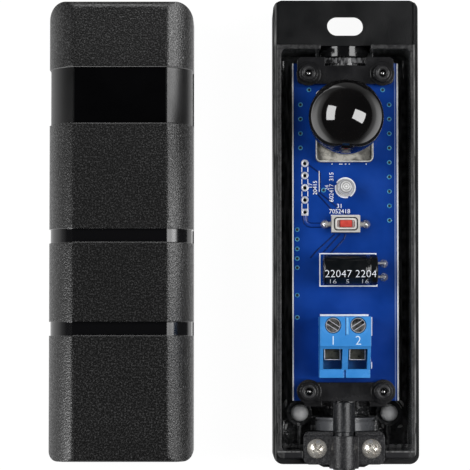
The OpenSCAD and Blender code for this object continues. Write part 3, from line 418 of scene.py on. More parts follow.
def make_cover_black():
    """Strongly grained black on the matt panels and polished in the two bands. The creases along the front are
    softly rounded, but not near the steps of the bands and of the window."""
    bands = ((-2.41, 0.51), (-21.61, -18.69))
    window = (22.1, 33.9)
    creases = ((-57.9, -54.5), (-38.7, -35.3))
    step = 1.4
    finish = Finish("cover_black", IOR=1.5)
    slow = finish.noise(12.0, 3.0)
    grain = finish.noise(0.34, 1.0, 0.5)
    gloss = finish.any_of(*(finish.within("Y", *ends) for ends in bands))
    steps = finish.any_of(*(finish.within("Y", low - step, high + step) for low, high in (*bands, window)))
    crease = finish.any_of(*(finish.within("X", *ends) for ends in creases))
    crease = finish.math("MULTIPLY", crease, finish.math("SUBTRACT", 1, steps))
    low = finish.blend(slow, 0.0006, 0.0012)
    high = finish.blend(slow, (0.034, 0.034, 0.0343), (0.049, 0.049, 0.0495))
    matt = finish.blend(grain, low, high, 0.46, 0.72)
    finish.to("Base Color", finish.tint(gloss, matt, (0.0035, 0.0035, 0.004)))
    finish.to("Roughness", finish.level(gloss, finish.span(grain, 0.42, 0.32, 0.4, 0.6), 0.14))
    finish.relief(grain, 0.16, finish.level(gloss, 0.6, 0.0), finish.level(crease, 0.0003, 0.0011))


def make_window_black():
    """Dark window: polished across its flat front and satin on its two bent flanks."""
    finish = Finish("window_black", IOR=1.5)
    slow = finish.noise(9.0, 3.0)
    front = finish.within("X", -56.0, -37.2)
    finish.to("Base Color", finish.blend(slow, (0.0008, 0.0008, 0.001), (0.0015, 0.0015, 0.0018)))
    finish.to("Roughness", finish.level(front, finish.span(slow, 0.32, 0.38), finish.span(slow, 0.04, 0.07)))
    finish.relief(slow, 0.004, 0.6, 0.3)


def make_board_blue():
    """Blue solder mask over faint weave, with a pale milled edge and a pale line where the copper ends."""
    skin_t = 0.01
    finish = Finish("board_blue", IOR=1.4)
    slow = finish.noise(8.0, 3.0)
    mask = finish.blend(slow, (0.003, 0.034, 0.23), (0.0035, 0.052, 0.33))
    inner = finish.within("X", board_low[0] + 0.25, board_high[0] - 0.32)
    face = finish.within("Z", TOP - skin_t, TOP + 0.1)
    back = finish.within("Z", board_low[2] - 0.1, board_low[2] + skin_t)
    laminate = finish.blend(finish.noise(0.5, 3.0), (0.8, 0.82, 0.86), 1.0, 0.3, 0.55)
    topped = finish.tint(finish.within("X", 10.2, 10.42), mask, (0.16, 0.24, 0.52))
    covered = finish.all_of(inner, finish.any_of(face, back))
    finish.to("Base Color", finish.tint(covered, laminate, topped))
    finish.to("Roughness", finish.span(slow, 0.16, 0.26))
    finish.relief(finish.noise(0.35, 2.0, 0.5, (1.0, 0.35, 1.0)), 0.01, 0.4)


def make_bracket_black():
    """Satin black, with painted highlights in streaks on the teeth of the two collars."""
    finish = Finish("bracket_black", IOR=1.55)
    slow = finish.noise(3.0, 3.0)
    streaks = finish.noise(0.55, 2.0, 0.6, (1.0, 0.35, 1.0))
    ends = finish.any_of(finish.within("Y", 34.3, 40.0), finish.within("Y", -42.0, -36.2))
    collars = finish.all_of(ends, finish.block(X=(-4.1, 4.1), Z=(3.0, 12.9)))
    plain = finish.blend(slow, (0.0075, 0.0075, 0.0085), (0.013, 0.013, 0.0145))
    # Painted highlights in streaks on the collar teeth
    teeth_highlight = finish.blend(streaks, (0.012, 0.012, 0.013), (0.17, 0.17, 0.175), 0.4, 0.62)
    finish.to("Base Color", finish.tint(collars, plain, teeth_highlight))
    finish.to("Roughness", finish.level(collars, finish.span(slow, 0.2, 0.3), finish.span(streaks, 0.12, 0.25)))
    finish.relief(finish.noise(0.25, 2.0, 0.6), 0.02, 0.6, 0.16)


def make_ball_black():
    """Polished dark lens with the faintest ripples of the moulding."""
    finish = Finish("lens_black", IOR=2.0)
    slow = finish.noise(9.0, 2.0)
    finish.to("Base Color", finish.blend(slow, (0.003, 0.0028, 0.003), (0.006, 0.0055, 0.0055)))
    finish.to("Roughness", finish.span(slow, 0.045, 0.065))
    finish.relief(finish.noise(2.6, 2.0, 0.5), 0.03, 0.25)


def make_tray_grey():
    """Pressed grey-beige sheet: smeared light and dark patches with thin dark contours between them."""
    finish = Finish("tray_grey", IOR=1.5)
    smear = finish.noise(0.5, 3.0, 0.7)
    contour = finish.math("ABSOLUTE", finish.math("SUBTRACT", finish.noise(2.4, 3.0, 0.6), 0.5))
    colour = finish.blend(finish.noise(3.2, 2.0, 0.55), (0.09, 0.086, 0.075), (0.55, 0.53, 0.47), 0.42, 0.56)
    colour = finish.tint(finish.span(contour, 0.5, 0, 0.0, 0.03), colour, (0.035, 0.035, 0.032))
    finish.to("Base Color", finish.tint(finish.span(smear, 0, 0.35), colour, (0.4, 0.39, 0.35)))
    finish.to("Roughness", finish.span(smear, 0.3, 0.5))
    finish.relief(smear, 0.05, 0.5, 0.1)


make_casing_black()
make_cover_black()
make_board_blue()
make_ball_black()
make_window_black()
make_bracket_black()
make_tray_grey()
grained("grommet_rubber", (0.004, 0.0045, 0.006), (0.06, 0.062, 0.067), 0.3)
grained("saddle_black", (0.006, 0.006, 0.008), (0.07, 0.07, 0.072), 0.3)
clear("clear_resin", (0.98, 0.98, 0.97), 0.15, (0.12, 0.22), (LED_X, LED_Y, 0.45))
clear("emitter_resin", (0.2, 0.18, 0.3), 0.6, (0.05, 0.15))
moulded("drum_black", (0.004, 0.004, 0.0045), (0.007, 0.007, 0.0075), (0.07, 0.14), 3.0, 0.4, 0.01, 0.1, IOR=1.6)
moulded("drum_grey", (0.07, 0.073, 0.08), (0.1, 0.104, 0.112), (0.22, 0.35), 3.0, 0.25, 0.02, 0.16)
moulded("plug_grey", (0.72, 0.725, 0.73), (0.86, 0.865, 0.87), (0.25, 0.4), 2.0, 0.25, 0.02, 0.16)
moulded("cup_black", 0.004, 0.008, (0.25, 0.4), 2.0, 0.2, 0.02)
moulded("switch_cream", (0.46, 0.45, 0.42), (0.58, 0.57, 0.54), (0.35, 0.5), 1.5, 0.15, 0.01, 0.1)
moulded("button_red", (0.5, 0.035, 0.025), (0.66, 0.06, 0.04), (0.3, 0.45), 0.8, 0.15, 0.02, 0.08)
moulded("bung_rubber", 0.008, 0.02, (0.5, 0.7), 1.5, 0.15, 0.03)
moulded("terminal_blue", (0.035, 0.235, 0.62), (0.055, 0.29, 0.72), (0.2, 0.3), 4.0, 0.2, 0.012, 0.22, IOR=1.42)
moulded("chip_black", 0.008, 0.015, (0.5, 0.65), 1.5, 0.15, 0.03)
moulded("track_edge", (0.0015, 0.012, 0.08), (0.002, 0.018, 0.12), (0.2, 0.3), 3.0, edge=0.0, IOR=1.3)
moulded("board_mask", (0.003, 0.038, 0.26), (0.0035, 0.05, 0.32), (0.2, 0.3), 5.0)
moulded("via_ring", (0.03, 0.2, 0.4), (0.1, 0.4, 0.58), (0.12, 0.2), 1.2, edge=0.0)
# Near-black for painted shade: the middles of the vias and the line round the switch
moulded("painted_shade", (0.002, 0.003, 0.01), (0.004, 0.006, 0.016), (0.5, 0.6), 1.0)
moulded("print_white", (0.8, 0.84, 0.94), (0.97, 0.98, 1.0), (0.5, 0.6), 0.6, 0.15, 0.01, 0.0)
moulded("print_pale", (0.55, 0.75, 0.95), (0.72, 0.86, 0.98), (0.4, 0.5), 0.6, 0.15, 0.01, 0.0)
moulded("ring_white", (0.7, 0.7, 0.68), (0.82, 0.82, 0.8), (0.3, 0.45), 0.8, 0.15, 0.01, 0.08)
moulded("sleeve_black", (0.004, 0.005, 0.006), (0.008, 0.009, 0.01), (0.1, 0.2), 2.0, 0.5, 0.02, 0.0, IOR=1.5)
# The fillet's grey, far paler than the black casing, is painted sheen
moulded("fillet_sheen", (0.02, 0.021, 0.022), (0.12, 0.122, 0.126), (0.1, 0.2), 2.0, 0.7, 0.1)
# Pale strokes on the room's floor: painted glints
moulded("painted_glint", 0.7, 0.95, (0.1, 0.25), 0.8, 0.4, 0.05)
# The paler grey of the boss rings is a painted highlight
moulded("boss_highlight", (0.012, 0.012, 0.013), (0.045, 0.045, 0.047), (0.2, 0.35), 1.5, 0.3, 0.04)
moulded("joint_dark", (0.01, 0.05, 0.16), (0.02, 0.08, 0.24), (0.3, 0.4), 1.0)
# The bead's paler blue is a painted highlight on the terminal housing's plastic
moulded("bead_highlight", (0.1, 0.4, 0.8), (0.15, 0.5, 0.92), (0.15, 0.25), 2.0)
metal("nickel", (0.7, 0.65, 0.58), (1.0, 0.97, 0.9), (0.2, 0.36), 0.5, 0.1, Metallic=0.75)
metal("screw_bright", 0.02, (0.3, 0.3, 0.29), (0.25, 0.4), 0.5, 0.06, (1.0, 0.3, 1.0), Metallic=0.75)
metal("pin_steel", 0.3, 0.8, (0.15, 0.3), 0.4, 0.08)
metal("tin", 0.6, 0.88, (0.25, 0.42), 0.25, 0.03, Metallic=0.7)
metal("pad_tin", (0.62, 0.64, 0.7), (0.9, 0.92, 0.98), (0.3, 0.45), 0.4, 0.02, Metallic=0.45)
metal("tray_rim", (0.6, 0.6, 0.58), (0.98, 0.98, 0.95), (0.3, 0.4), 0.4, 0.03, Metallic=0.3)
metal("can_aluminium", (0.6, 0.6, 0.62), (0.8, 0.8, 0.82), (0.25, 0.4), 0.2, 0.01, (1.0, 0.2, 0.2))
metal("clamp_steel", (0.02, 0.022, 0.018), (0.12, 0.12, 0.095), (0.25, 0.4), 0.7, 0.06, Metallic=0.6)
metal("solder", (0.5, 0.49, 0.47), (1.0, 0.99, 0.97), (0.12, 0.3), 0.8, 0.5, Metallic=0.85)
metal("bright_cup", (0.8, 0.8, 0.78), (0.95, 0.95, 0.93), (0.2, 0.35), 0.3, 0.02)

finish_of = {
    "casing_black": ["back_casing"],
    "drum_black": ["upper_pivot_bush"],
    "drum_grey": ["lower_pivot_bush"],
    "plug_grey": ["fixing_plugs"],
    "grommet_rubber": ["cable_grommet"],
    "saddle_black": ["cable_saddle"],
    "nickel": ["saddle_screws"],
    "screw_bright": ["clamp_screw_left", "clamp_screw_right"],
    "board_blue": ["circuit_board"],
    "bracket_black": ["upper_bracket", "lower_bracket"],
    "pin_steel": ["bracket_pins"],
    "tray_grey": ["lens_tray"],
    "cup_black": ["lens_cup"],
    "lens_black": ["ball_lens"],
    "emitter_resin": ["ir_emitter"],
    "tin": ["emitter_leads", "indicator_leads", "switch_leads", "capacitor_leads", "terminal_contacts",
            "solder_joints"],
    "clear_resin": ["indicator_led"],
    "switch_cream": ["switch_case", "switch_plate"],
    "clamp_steel": ["clamp_cage_left", "clamp_cage_right"],
    "button_red": ["switch_button"],
    "can_aluminium": ["capacitor_can"],
    "bung_rubber": ["capacitor_bung"],
    "terminal_blue": ["terminal_housing"],
    "chip_black": ["driver_chip"],
    "cover_black": ["front_cover"],
    "window_black": ["beam_window", "capacitor_sleeve"],
}

for coat, nodes in finish_of.items():
    for node in nodes:
        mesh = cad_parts[node].data
        mesh.materials.clear()
        mesh.materials.append(coats[coat])


# Shapes

def skin(points, tips=None, round_trip=False):
    """Quads between the rings of a grid of points (rings, sides, 3), each ring closed on itself. With tips, the first
    and the last ring also close on a point each; with round_trip, the last ring joins the first."""
    rings, sides = points.shape[:2]
    index = np.arange(rings * sides).reshape(rings, sides)
    beside = np.roll(index, -1, axis=1)
    low, low_beside = (index, beside) if round_trip else (index[:-1], beside[:-1])
    high = np.roll(index, -1, axis=0) if round_trip else index[1:]
    high_beside = np.roll(beside, -1, axis=0) if round_trip else beside[1:]
    faces = np.stack([low, low_beside, high_beside, high], axis=-1).reshape(-1, 4).tolist()
    places = points.reshape(-1, 3)
    if tips is not None:
        places = np.vstack([places, tips])
        near, far = rings * sides, rings * sides + 1
        faces += np.stack([np.full(sides, near), beside[0], index[0]], axis=-1).tolist()
        faces += np.stack([np.full(sides, far), index[-1], beside[-1]], axis=-1).tolist()
    return places, faces


def lathe(profile, centre=(0, 0, 0), sides=96, tips=None, loop=False, shift=0):
    """A turned shape: each (radius, height) of the profile becomes the ring (r cos t, r sin t, h). With a shift of 1
    the axes change places, so that the height lies along X. tips are the heights of the two end points."""
    profile = np.array(profile, float)
    t = np.arange(sides) / sides * TURN
    radius, height = profile[:, :1], profile[:, 1:]
    rings = np.stack([radius * np.cos(t), radius * np.sin(t), height + 0 * t], axis=-1)
    rings = np.roll(rings, shift, axis=-1) + np.array(centre, float)
    ends = None
    if tips is not None:
        ends = np.roll(np.array([[0, 0, tip] for tip in tips], float), shift, axis=-1) + np.array(centre, float)
    return skin(rings, ends, loop)


def arc(x, y, radius, start, end, steps=16):
    """Points at radius about (x, y) from the angle start to the angle end, in degrees."""
    t = np.radians(np.linspace(start, end, steps))
    return np.stack([x + radius * np.cos(t), y + radius * np.sin(t)], axis=-1)


def rounded_box(x, y, width, length, radius):
    """The outline of a rectangle about (x, y) whose corners are quarter circles, counterclockwise."""
    w, l = width / 2 - radius, length / 2 - radius
    return np.vstack([arc(x + sx * w, y + sy * l, radius, start, start + 90, 8)
                      for sx, sy, start in ((1, 1, 0), (-1, 1, 90), (-1, -1, 180), (1, -1, 270))])


def sweep(path, across, up, foot, closed=False):
    """A section carried along a path of (x, y) points on the height foot, mitred at its corners: at each point the
    section, (across, up) with across growing to the path's left, is set square to the mean of the two directions
    there and widened by one over the cosine of half the turn."""
    path = np.array(path, float)
    if closed:
        before, after = path - np.roll(path, 1, axis=0), np.roll(path, -1, axis=0) - path
    else:
        steps = np.diff(path, axis=0)
        before, after = np.vstack([steps[:1], steps]), np.vstack([steps, steps[-1:]])
    before = before / np.linalg.norm(before, axis=1, keepdims=True)
    after = after / np.linalg.norm(after, axis=1, keepdims=True)
    mean = before + after
    mean = mean / np.linalg.norm(mean, axis=1, keepdims=True)
    stretch = 1 / np.maximum(np.sum(mean * after, axis=1), 0.4)
    side = np.stack([-mean[:, 1], mean[:, 0]], axis=-1) * stretch[:, None]
    flat = path[:, None, :] + side[:, None, :] * np.array(across, float)[None, :, None]
    height = np.array(up, float) + foot
    rings = np.concatenate([flat, np.broadcast_to(height[None, :, None], (*flat.shape[:2], 1))], axis=-1)
    tips = None if closed else np.stack([rings[0].mean(axis=0), rings[-1].mean(axis=0)])
    return skin(rings, tips, closed)


def ribbon(path, width, height, foot, closed=False):
    """A flat strip along a path: its section is a rectangle with its two upper corners cut."""
    cut = min(0.2 * width, height)
    across = [-width / 2, width / 2, width / 2, width / 2 - cut, cut - width / 2, -width / 2]
    return sweep(path, across, [0, 0, 0.5 * height, height, height, 0.5 * height], foot, closed)


def drop(spine, widths, heights, foot, sides=24):
    """A blob of solder that lies on the height foot: along the spine of (x, y) points each section is the upper half
    of an ellipse, half width cos t by height sin t, closed by its flat foot."""
    spine = np.array(spine, float)
    forward = np.gradient(spine, axis=0)
    forward = forward / np.linalg.norm(forward, axis=1, keepdims=True)
    side = np.stack([-forward[:, 1], forward[:, 0]], axis=-1)
    t = np.arange(sides) / sides * TURN
    across = np.array(widths, float)[:, None] * np.cos(t)
    up = np.array(heights, float)[:, None] * np.maximum(np.sin(t), 0) + foot
    flat = spine[:, None, :] + side[:, None, :] * across[..., None]
    rings = np.concatenate([flat, up[..., None]], axis=-1)
    return skin(rings, np.stack([rings[0].mean(axis=0), rings[-1].mean(axis=0)]))


def copies(part, places):
    """The same part at each of the places, in one mesh."""
    points, faces = part
    places = np.array(places, float)
    moved = (points[None] + places[:, None]).reshape(-1, 3)
    count = len(points)
    return moved, [[corner + i * count for corner in face] for i in range(len(places)) for face in faces]


def piece(name, parts, coat, body, replaces=(), crease=40):
    """One object from a list of (points, faces) in millimetres, smooth up to the crease angle, with its finish, its
    CAD body and the solids that it stands for."""
    points, faces, count = [], [], 0
    for places, part_faces in parts:
        points.append(places)
        faces += [[corner + count for corner in face] for face in part_faces]
        count += len(places)
    mesh = bpy.data.meshes.new(name)
    mesh.from_pydata((np.vstack(points) * MM).tolist(), [], faces)
    mesh.polygons.foreach_set("use_smooth", np.ones(len(mesh.polygons), bool))
    mesh.set_sharp_from_angle(angle=math.radians(crease))
    mesh.materials.append(coats[coat])
    thing = put(name, mesh)
    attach(thing, body)
    if replaces:
        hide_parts(*replaces)


def figures(words, height, place, turn=0.0, thick=0.03, rows=0, thin=0.0):
    """The mesh of plain numbers in millimetres: height tall, their middle at place (x, y, z), turned about Z, with
    thin taken off either side of each stroke. With rows, level cuts split them into that many rows, so that they can
    be bent round a drum."""
    font_share = 1.4
    curve = bpy.data.curves.new("figures", "FONT")
    curve.body = words
    curve.align_x = "CENTER"
    curve.align_y = "CENTER"
    curve.size = height * font_share
    curve.extrude = thick / 2
    curve.offset = -thin
    curve.resolution_u = 3
    thing = put("figures", curve)
    bpy.context.view_layer.update()
    mesh = bpy.data.meshes.new_from_object(thing)
    bpy.data.objects.remove(thing)
    if rows:
        cut = bmesh.new()
        cut.from_mesh(mesh)
        for level in np.linspace(-0.6, 0.6, rows + 1):
            bmesh.ops.bisect_plane(cut, geom=cut.verts[:] + cut.edges[:] + cut.faces[:],
                                   plane_co=(0, level * height, 0), plane_no=(0, 1, 0))
        cut.to_mesh(mesh)
        cut.free()
    points = np.array([vertex.co[:] for vertex in mesh.vertices])
    faces = [list(polygon.vertices) for polygon in mesh.polygons]
    bpy.data.meshes.remove(mesh)
    c, s = math.cos(math.radians(turn)), math.sin(math.radians(turn))
    turned = points @ np.array([[c, s, 0], [-s, c, 0], [0, 0, 1]])
    return turned + np.array(place, float), faces


# Printed board

def make_tracks():
    """Copper under the blue mask: low dark strips, the wide one with a slightly narrower, higher one of the mask's
    own blue on it."""
    wide = [(-8.4, 3.4), (-8.4, 2.6), (-8.2, 1.9), (-7.7, 1.45), (-7.1, 1.3), (-4.6, 1.3)]
    narrow = [
        [(-7.8, 14.0), (-5.25, 12.1), (-5.25, 8.0), (0.2, 3.5)],
        [(-6.9, 9.3), (-5.9, 7.9), (-2.2, 3.8)],
        [(-2.2, -0.5), (-6.1, -4.1), (-7.3, -5.5)],
        [(-1.1, -0.5), (-4.6, -4.3)],
        [(0.0, -0.5), (-0.35, -1.6), (-3.1, -4.5)],
    ]
    edges = [ribbon(wide, 1.1, 0.02, TOP)] + [ribbon(path, 0.34, 0.02, TOP) for path in narrow]
    piece("track_edges", edges, "track_edge", "board")
    piece("track_tops", [ribbon(wide, 0.72, 0.035, TOP)], "board_mask", "board")


def make_silk():
    """White print: outlines round the parts, the dashes beside the header pads and the rows of plain numbers."""
    line, bold, fine, high = 0.2, 0.24, 0.16, 0.025
    ring_r, pad_gap = 2.05, 0.72
    foot_y = corners("lens_tray")[0][1] - 0.32
    paths = [([(x, foot_y), (x + width, foot_y)], fine)
             for x, width in ((-2.9, 0.3), (-1.3, 0.8), (-0.1, 0.35), (0.7, 0.3), (4.2, 0.3))]
    paths += [
        (arc(0, LED_Y, ring_r, -60, 150, 40), bold),
        (arc(0, LED_Y, ring_r, 165, 285, 24), bold),
        ([(-2.9, 3.15), (-2.9, 3.35), (2.75, 3.35), (2.75, 3.15)], line),
        ([(6.3, -4.95), (6.3, -4.6), (-5.3, -4.6), (-5.3, -11.3), (6.5, -11.3), (6.5, -10.9)], bold),
        ([(-5.3, -17.35), (4.75, -17.35)], 0.4),
        ([(5.4, -17.75), (5.4, -21.6)], line),
        ([(5.1, -21.7), (5.1, -26.9)], line),
        ([(5.35, -27.0), (5.35, -28.4)], line),
    ]
    strips = [ribbon(path, width, high, TOP) for path, width in paths]
    strips.append(ribbon([(-5.42, 12.6), (-5.42, 8.25)], 0.14, high + 0.02, TOP))
    first = LED_Y - 2 * PITCH
    for gap in range(4):
        for x in (-9.02, -7.78):
            dash = [(x, first + gap * PITCH + pad_gap), (x, first + (gap + 1) * PITCH - pad_gap)]
            strips.append(ribbon(dash, fine, high, TOP))
    for words, height, x, y, turn in (("17", 0.8, -7.2, 9.5, 90), ("20415", 0.85, -6.25, 9.1, 90),
                                      ("24", 0.8, -3.8, 9.1, 90), ("315", 0.9, -2.85, 11.4, 90),
                                      ("602417", 0.9, -2.85, 8.0, 90), ("31", 0.9, -1.2, 5.25, 0),
                                      ("7052418", 0.9, -1.2, 4.15, 0)):
        strips.append(figures(words, height, (x, y, TOP + 0.015), turn))
    piece("board_print", strips, "print_white", "board")


def make_vias():
    """Plated holes under the mask: a low ring that dips to a dark middle, painted shade in the hole."""
    head_y, pitch = 26.4, 3.01
    places = [(9.15, head_y - pitch * i) for i in range(9)]
    places += [(-9.3, head_y), (-9.3, 23.4), (-9.3, 20.4), (-9.3, 17.4), (-7.5, 29.5), (7.8, 29.5)]
    places += [(-10.0, y) for y in (0.4, -1.6, -3.6, -5.6, -7.5, -13.2, -17.8)] + [(-4.5, 8.6)]
    places = [(x, y, TOP) for x, y in places]
    ring = lathe([(0.49, -0.005), (0.47, 0.03), (0.43, 0.06), (0.37, 0.07), (0.32, 0.05), (0.28, 0.01)], sides=24,
                 tips=(-0.005, 0.005))
    dip = lathe([(0.31, 0.004), (0.31, 0.014), (0.25, 0.018)], sides=20, tips=(0.004, 0.018))
    piece("via_rings", [copies(ring, places)], "via_ring", "board", crease=60)
    piece("via_dips", [copies(dip, places)], "painted_shade", "board")


def make_header():
    """Five plated holes: each a spool that lines its hole and ends in a pad on either face; the last pad is square."""
    inset, pad_r, bore_r, square_share = 2.6, 0.78, 0.415, 0.93
    x, foot = board_low[0] + inset, board_low[2] - TOP
    spool = [(pad_r, foot - 0.05), (pad_r, foot), (bore_r, foot), (bore_r, 0), (pad_r, 0), (0.76, 0.05),
             (0.66, 0.07), (0.46, 0.07), (0.38, 0.03), (0.38, foot - 0.03), (0.44, foot - 0.05)]
    points, faces = round_pad = lathe(spool, sides=40, loop=True)
    t = np.arctan2(points[:, 1], points[:, 0])
    reach = np.hypot(points[:, 0], points[:, 1])
    square = 1 / np.maximum(np.abs(np.cos(t)), np.abs(np.sin(t))) * square_share
    grow = np.where(reach > 0.6, square, 1)[:, None]
    square_pad = (points * np.hstack([grow, grow, np.ones_like(grow)]), faces)
    piece("header_pads", [copies(round_pad, [(x, LED_Y + PITCH * i, TOP) for i in (-1, 0, 1, 2)]),
                          copies(square_pad, [(x, LED_Y - PITCH * 2, TOP)])], "pad_tin", "board")


# Small parts on the board

def make_ball():
    """The ball as one closed shell: up the inside of the hollow to its top, back down, across the cut at the foot and
    round the outside. Radius and height follow the circle about the ball's middle."""
    wall = 1.2
    low, high = corners("ball_lens")
    radius = (high[0] - low[0]) / 2
    middle = np.array([(low[0] + high[0]) / 2, (low[1] + high[1]) / 2, high[2] - radius])
    cut = low[2] - middle[2]
    inner = radius - wall
    outside = np.linspace(math.asin(cut / radius), math.pi / 2, 60)[:-1]
    inside = np.linspace(math.pi / 2, math.asin(cut / inner), 40)[1:]
    profile = [(r * math.cos(t), r * math.sin(t)) for r, turns in ((inner, inside), (radius, outside)) for t in turns]
    piece("lens_ball", [lathe(profile, middle, sides=128, tips=(inner, radius))], "lens_black", "board",
          ("ball_lens",))


def make_capacitor():
    """The shrunk sleeve of the capacitor: round shoulders, a groove near the leads and a lip over the bung. The plain
    numbers on it are wrapped round it at a slant from the top, in degrees."""
    wall, shoulder, front_r, groove, mouth = 0.13, 0.55, 0.45, 1.9, 0.95
    low, high = corners("capacitor_sleeve")
    radius = (high[2] - low[2]) / 2
    y, z = (low[1] + high[1]) / 2, (low[2] + high[2]) / 2
    length = high[0] - low[0]
    turn = np.radians(np.linspace(0, 90, 9))
    back = [(radius - shoulder + shoulder * math.sin(t), shoulder - shoulder * math.cos(t)) for t in turn]
    dip = [(radius - 0.28 * math.exp(-((h - groove) / 0.34) ** 2), length - h)
           for h in np.linspace(groove + 1.0, groove - 1.0, 25)]
    front = [(radius - front_r + front_r * math.cos(t), length - front_r + front_r * math.sin(t)) for t in turn]
    lip = [(radius - mouth, length), (radius - mouth, length - 0.14), (radius - 0.5, length - 0.16),
           (radius - wall - 0.3, length - 0.5)]
    inner = [(radius - wall - 0.02, length - 0.9), (radius - wall - 0.02, 0.6), (radius - 0.7, wall)]
    foot = [(radius - mouth, wall), (radius - mouth, 0.0)]
    profile = back + dip + front + lip + inner + foot
    piece("capacitor_coat", [lathe(profile, (low[0], y, z), loop=True, shift=1)], "sleeve_black", "board",
          ("capacitor_sleeve",))
    marks = []
    for words, size, x, slant in (("22047", 1.6, -1.75, 17.5), ("2204", 1.6, 3.9, 17.5), ("16", 1.3, -2.9, 52),
                                  ("5", 1.3, 0.2, 52), ("16", 1.3, 3.7, 52)):
        points, faces = figures(words, size, (0, 0, 0), 0, 0.02, rows=14, thin=0.035)
        around = math.radians(slant) - points[:, 1] / radius
        reach = radius + 0.012 + points[:, 2]
        wrapped = np.stack([points[:, 0] + x, -reach * np.sin(around), reach * np.cos(around)], axis=-1)
        marks.append((wrapped + np.array([0.0, y, z]), faces))
    piece("capacitor_print", marks, "print_white", "board")


def make_indicator():
    """Inside the clear dome: a bright reflector cup, one closed turned shape."""
    cup = lathe([(0.3, 0.8), (0.55, 0.9), (1.15, 2.05), (1.22, 2.15), (1.14, 2.18), (0.5, 1.3), (0.3, 1.22)],
                (LED_X, LED_Y, led_low[2]), sides=48, tips=(0.8, 1.22))
    piece("indicator_reflector", [cup], "bright_cup", "board")


def make_tray_rim():
    """The bright folded rim of the tray: a strip round its top, just inside its edge."""
    low, high = corners("lens_tray")
    x, y = ((low + high) / 2)[:2]
    width, length = (high - low)[:2] - 0.26
    rim = ribbon(rounded_box(x, y, width, length, 0.95), 0.22, 0.1, high[2], closed=True)
    piece("tray_rim", [rim], "tray_rim", "board")


def make_switch_trim():
    """The pale ring round the red button, the dark line round that, a painted shadow, and the solder on the two leads.
    """
    low, high = corners("switch_button")
    top = corners("switch_plate")[1][2]
    x, y = (low[0] + high[0]) / 2, (low[1] + high[1]) / 2
    ring = ribbon(rounded_box(x, y, 3.95, 1.92, 0.5), 0.42, 0.22, top, closed=True)
    piece("switch_ring", [ring], "ring_white", "board")
    dark = ribbon(rounded_box(x, y, 4.75, 2.55, 0.6), 0.24, 0.05, top, closed=True)
    piece("switch_shadow", [dark], "painted_shade", "board")
    reach = np.array([2.97, 3.15, 3.45, 3.65, 3.9, 4.2, 4.6, 4.95, 5.15])
    widths = [0.6, 0.62, 0.55, 0.65, 0.86, 0.95, 0.9, 0.6, 0.15]
    heights = [0.5, 0.6, 0.6, 0.75, 1.0, 1.1, 0.9, 0.5, 0.15]
    blobs = [drop(np.stack([side * reach, np.full(9, y)], axis=-1), widths, heights, TOP) for side in (-1, 1)]
    piece("switch_solder", blobs, "solder", "board")


def make_lead_solder():
    """Cones of solder round the capacitor's two leads where they go into the board."""
    inset = 0.25
    low, high = corners("capacitor_leads")
    cone = lathe([(0.88, 0.0), (0.85, 0.1), (0.7, 0.28), (0.5, 0.5), (0.36, 0.75)], sides=32, tips=(0.0, 0.7))
    places = [(high[0] - inset, y, TOP) for y in (low[1] + inset, high[1] - inset)]
    piece("lead_solder", [copies(cone, places)], "solder", "board")


def make_terminal_print():
    """A plain number over each pole."""
    rise = 7.55
    low, high = corners("terminal_housing")
    marks = []
    for words, side in (("1", "left"), ("2", "right")):
        screw_low, screw_high = corners("clamp_screw_" + side)
        place = ((screw_low[0] + screw_high[0]) / 2, low[1] + rise, high[2] + 0.012)
        marks.append(figures(words, 1.9, place, 0, 0.024, thin=0.03))
    piece("terminal_print", marks, "print_pale", "board")


def make_screw_highlights():
    """Painted highlights on the edges of each clamp screw: a bright ring round its head and a bar along either side of
    its slot.
    """
    slot_half = 0.42
    for side, turn in (("left", -33), ("right", 33)):
        low, high = corners("clamp_screw_" + side)
        middle = (low + high) / 2
        radius = (high[0] - low[0]) / 2
        ring = lathe([(radius - 0.02, -0.01), (radius - 0.02, 0.015), (radius - 0.12, 0.015), (radius - 0.12, -0.01)],
                     (middle[0], middle[1], high[2]), sides=48, loop=True)
        a = math.radians(turn)
        bars = []
        for offset in (-slot_half, slot_half):
            half = math.sqrt((radius - 0.14) ** 2 - offset ** 2)
            bars.append(ribbon([(middle[0] + t * half * math.cos(a) - offset * math.sin(a),
                                 middle[1] + t * half * math.sin(a) + offset * math.cos(a)) for t in (-1, 1)],
                               0.13, 0.02, high[2]))
        # The ring and the bars are painted highlights
        piece("screw_highlights_" + side, [ring] + bars, "pad_tin", side + "_screw")


def make_cage_edges():
    """The bright cut edges of each clamp cage: a strip along three sides of the plate seen in the wire entry."""
    inset, reach = 0.12, 2.7
    for side in ("left", "right"):
        low, high = corners("clamp_cage_" + side)
        left, right, front = low[0] + inset, high[0] - inset, low[1] + inset
        path = [(left, front + reach), (left, front), (right, front), (right, front + reach)]
        piece("cage_edges_" + side, [ribbon(path, 0.14, 0.02, high[2])], "pad_tin", side + "_cage")


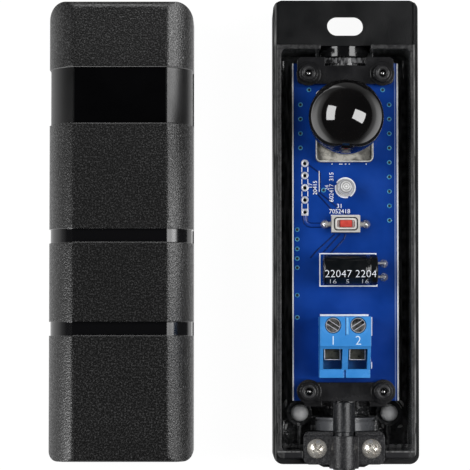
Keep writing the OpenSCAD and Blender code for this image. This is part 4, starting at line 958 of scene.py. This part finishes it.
def make_room_marks():
    """Moulding detail in the room behind the board, all of it on the floor: the fillet where the walls meet it, a
    hollow quarter circle carried round the room, its grey a painted sheen, and some small pale strokes near the foot,
    painted glints."""
    r, room_half_w, room_head, room_foot = 0.9, 13.35, 37.6, -45.2
    t = np.radians(np.linspace(0, 90, 9))
    across = np.concatenate([[-0.1, r], r - r * np.sin(t), [-0.1]])
    up = np.concatenate([[-0.05, -0.05], r - r * np.cos(t), [r]])
    path = rounded_box(0, (room_head + room_foot) / 2, 2 * room_half_w, room_head - room_foot, 1.0)
    # The fillet's pale grey is painted sheen
    piece("room_fillet", [sweep(path, across, up, FLOOR, closed=True)], "fillet_sheen", "casing")
    strokes = (
        [(-12.05, -35.0), (-12.15, -35.5), (-12.1, -36.1), (-12.25, -36.7)],
        [(-11.75, -39.9), (-12.05, -40.3), (-12.2, -40.9), (-12.25, -41.5)],
        [(-12.8, -44.6), (-12.3, -44.55), (-11.6, -44.65), (-11.1, -44.6)],
        [(8.1, -39.9), (8.15, -40.3), (8.35, -40.7), (8.4, -41.1)],
        [(11.4, -40.9), (11.8, -40.7), (12.2, -40.6), (12.5, -40.65)],
        [(11.9, -45.0), (12.3, -44.85), (12.7, -44.75), (13.0, -44.6)],
        [(10.6, -35.4), (11.1, -35.7), (11.8, -36.3), (12.3, -36.9)],
        [(11.6, -35.2), (12.1, -35.5), (12.5, -36.0), (12.6, -36.5)],
    )
    # Small pale ridges whose colour is painted glints
    piece("painted_glints", [drop(line, [0.12, 0.3, 0.28, 0.1], [0.2, 0.6, 0.5, 0.15], FLOOR, 16) for line in strokes],
          "painted_glint", "casing")


def make_boss_rings():
    """A paler ring round each bracket pin: a low lathed ridge on top of its boss, its grey a painted highlight."""
    pin_x = 7.65
    low, high = corners("bracket_pins")
    top = corners("upper_bracket")[1][2]
    pin_r = high[0] - pin_x
    ridge = lathe([(0.84, -0.02), (1.44, -0.02), (1.42, 0.02), (1.28, 0.09), (1.0, 0.09), (0.86, 0.02)], sides=48,
                  loop=True)
    places = [(x, y, top) for x in (-pin_x, pin_x) for y in (low[1] + pin_r, high[1] - pin_r)]
    piece("boss_rings", [copies(ridge, places)], "boss_highlight", "board")


def make_terminal_joint():
    """The dark joint between the two poles of the terminal block, and the bead beside it, whose paler blue is a painted
    highlight.
    """
    high = corners("terminal_housing")[1]
    x = sum(corner[0] for side in ("left", "right") for corner in corners("clamp_screw_" + side)) / 4
    top = high[1] - 0.25
    bead_x = x + 0.36
    piece("terminal_joint", [ribbon([(x, top), (x, top - 3.6)], 0.14, 0.012, high[2])], "joint_dark", "board")
    piece("terminal_bead", [ribbon([(bead_x, top), (bead_x, top - 3.4)], 0.42, 0.12, high[2])], "bead_highlight",
          "board")


make_tracks()
make_silk()
make_vias()
make_header()
make_ball()
make_capacitor()
make_indicator()
make_tray_rim()
make_switch_trim()
make_lead_solder()
make_terminal_print()
make_screw_highlights()
make_cage_edges()
make_room_marks()
make_boss_rings()
make_terminal_joint()

# Shiny parts of the base don't mirror the cover, which is lit apart from them
for node in COVER:
    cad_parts[node].visible_glossy = False
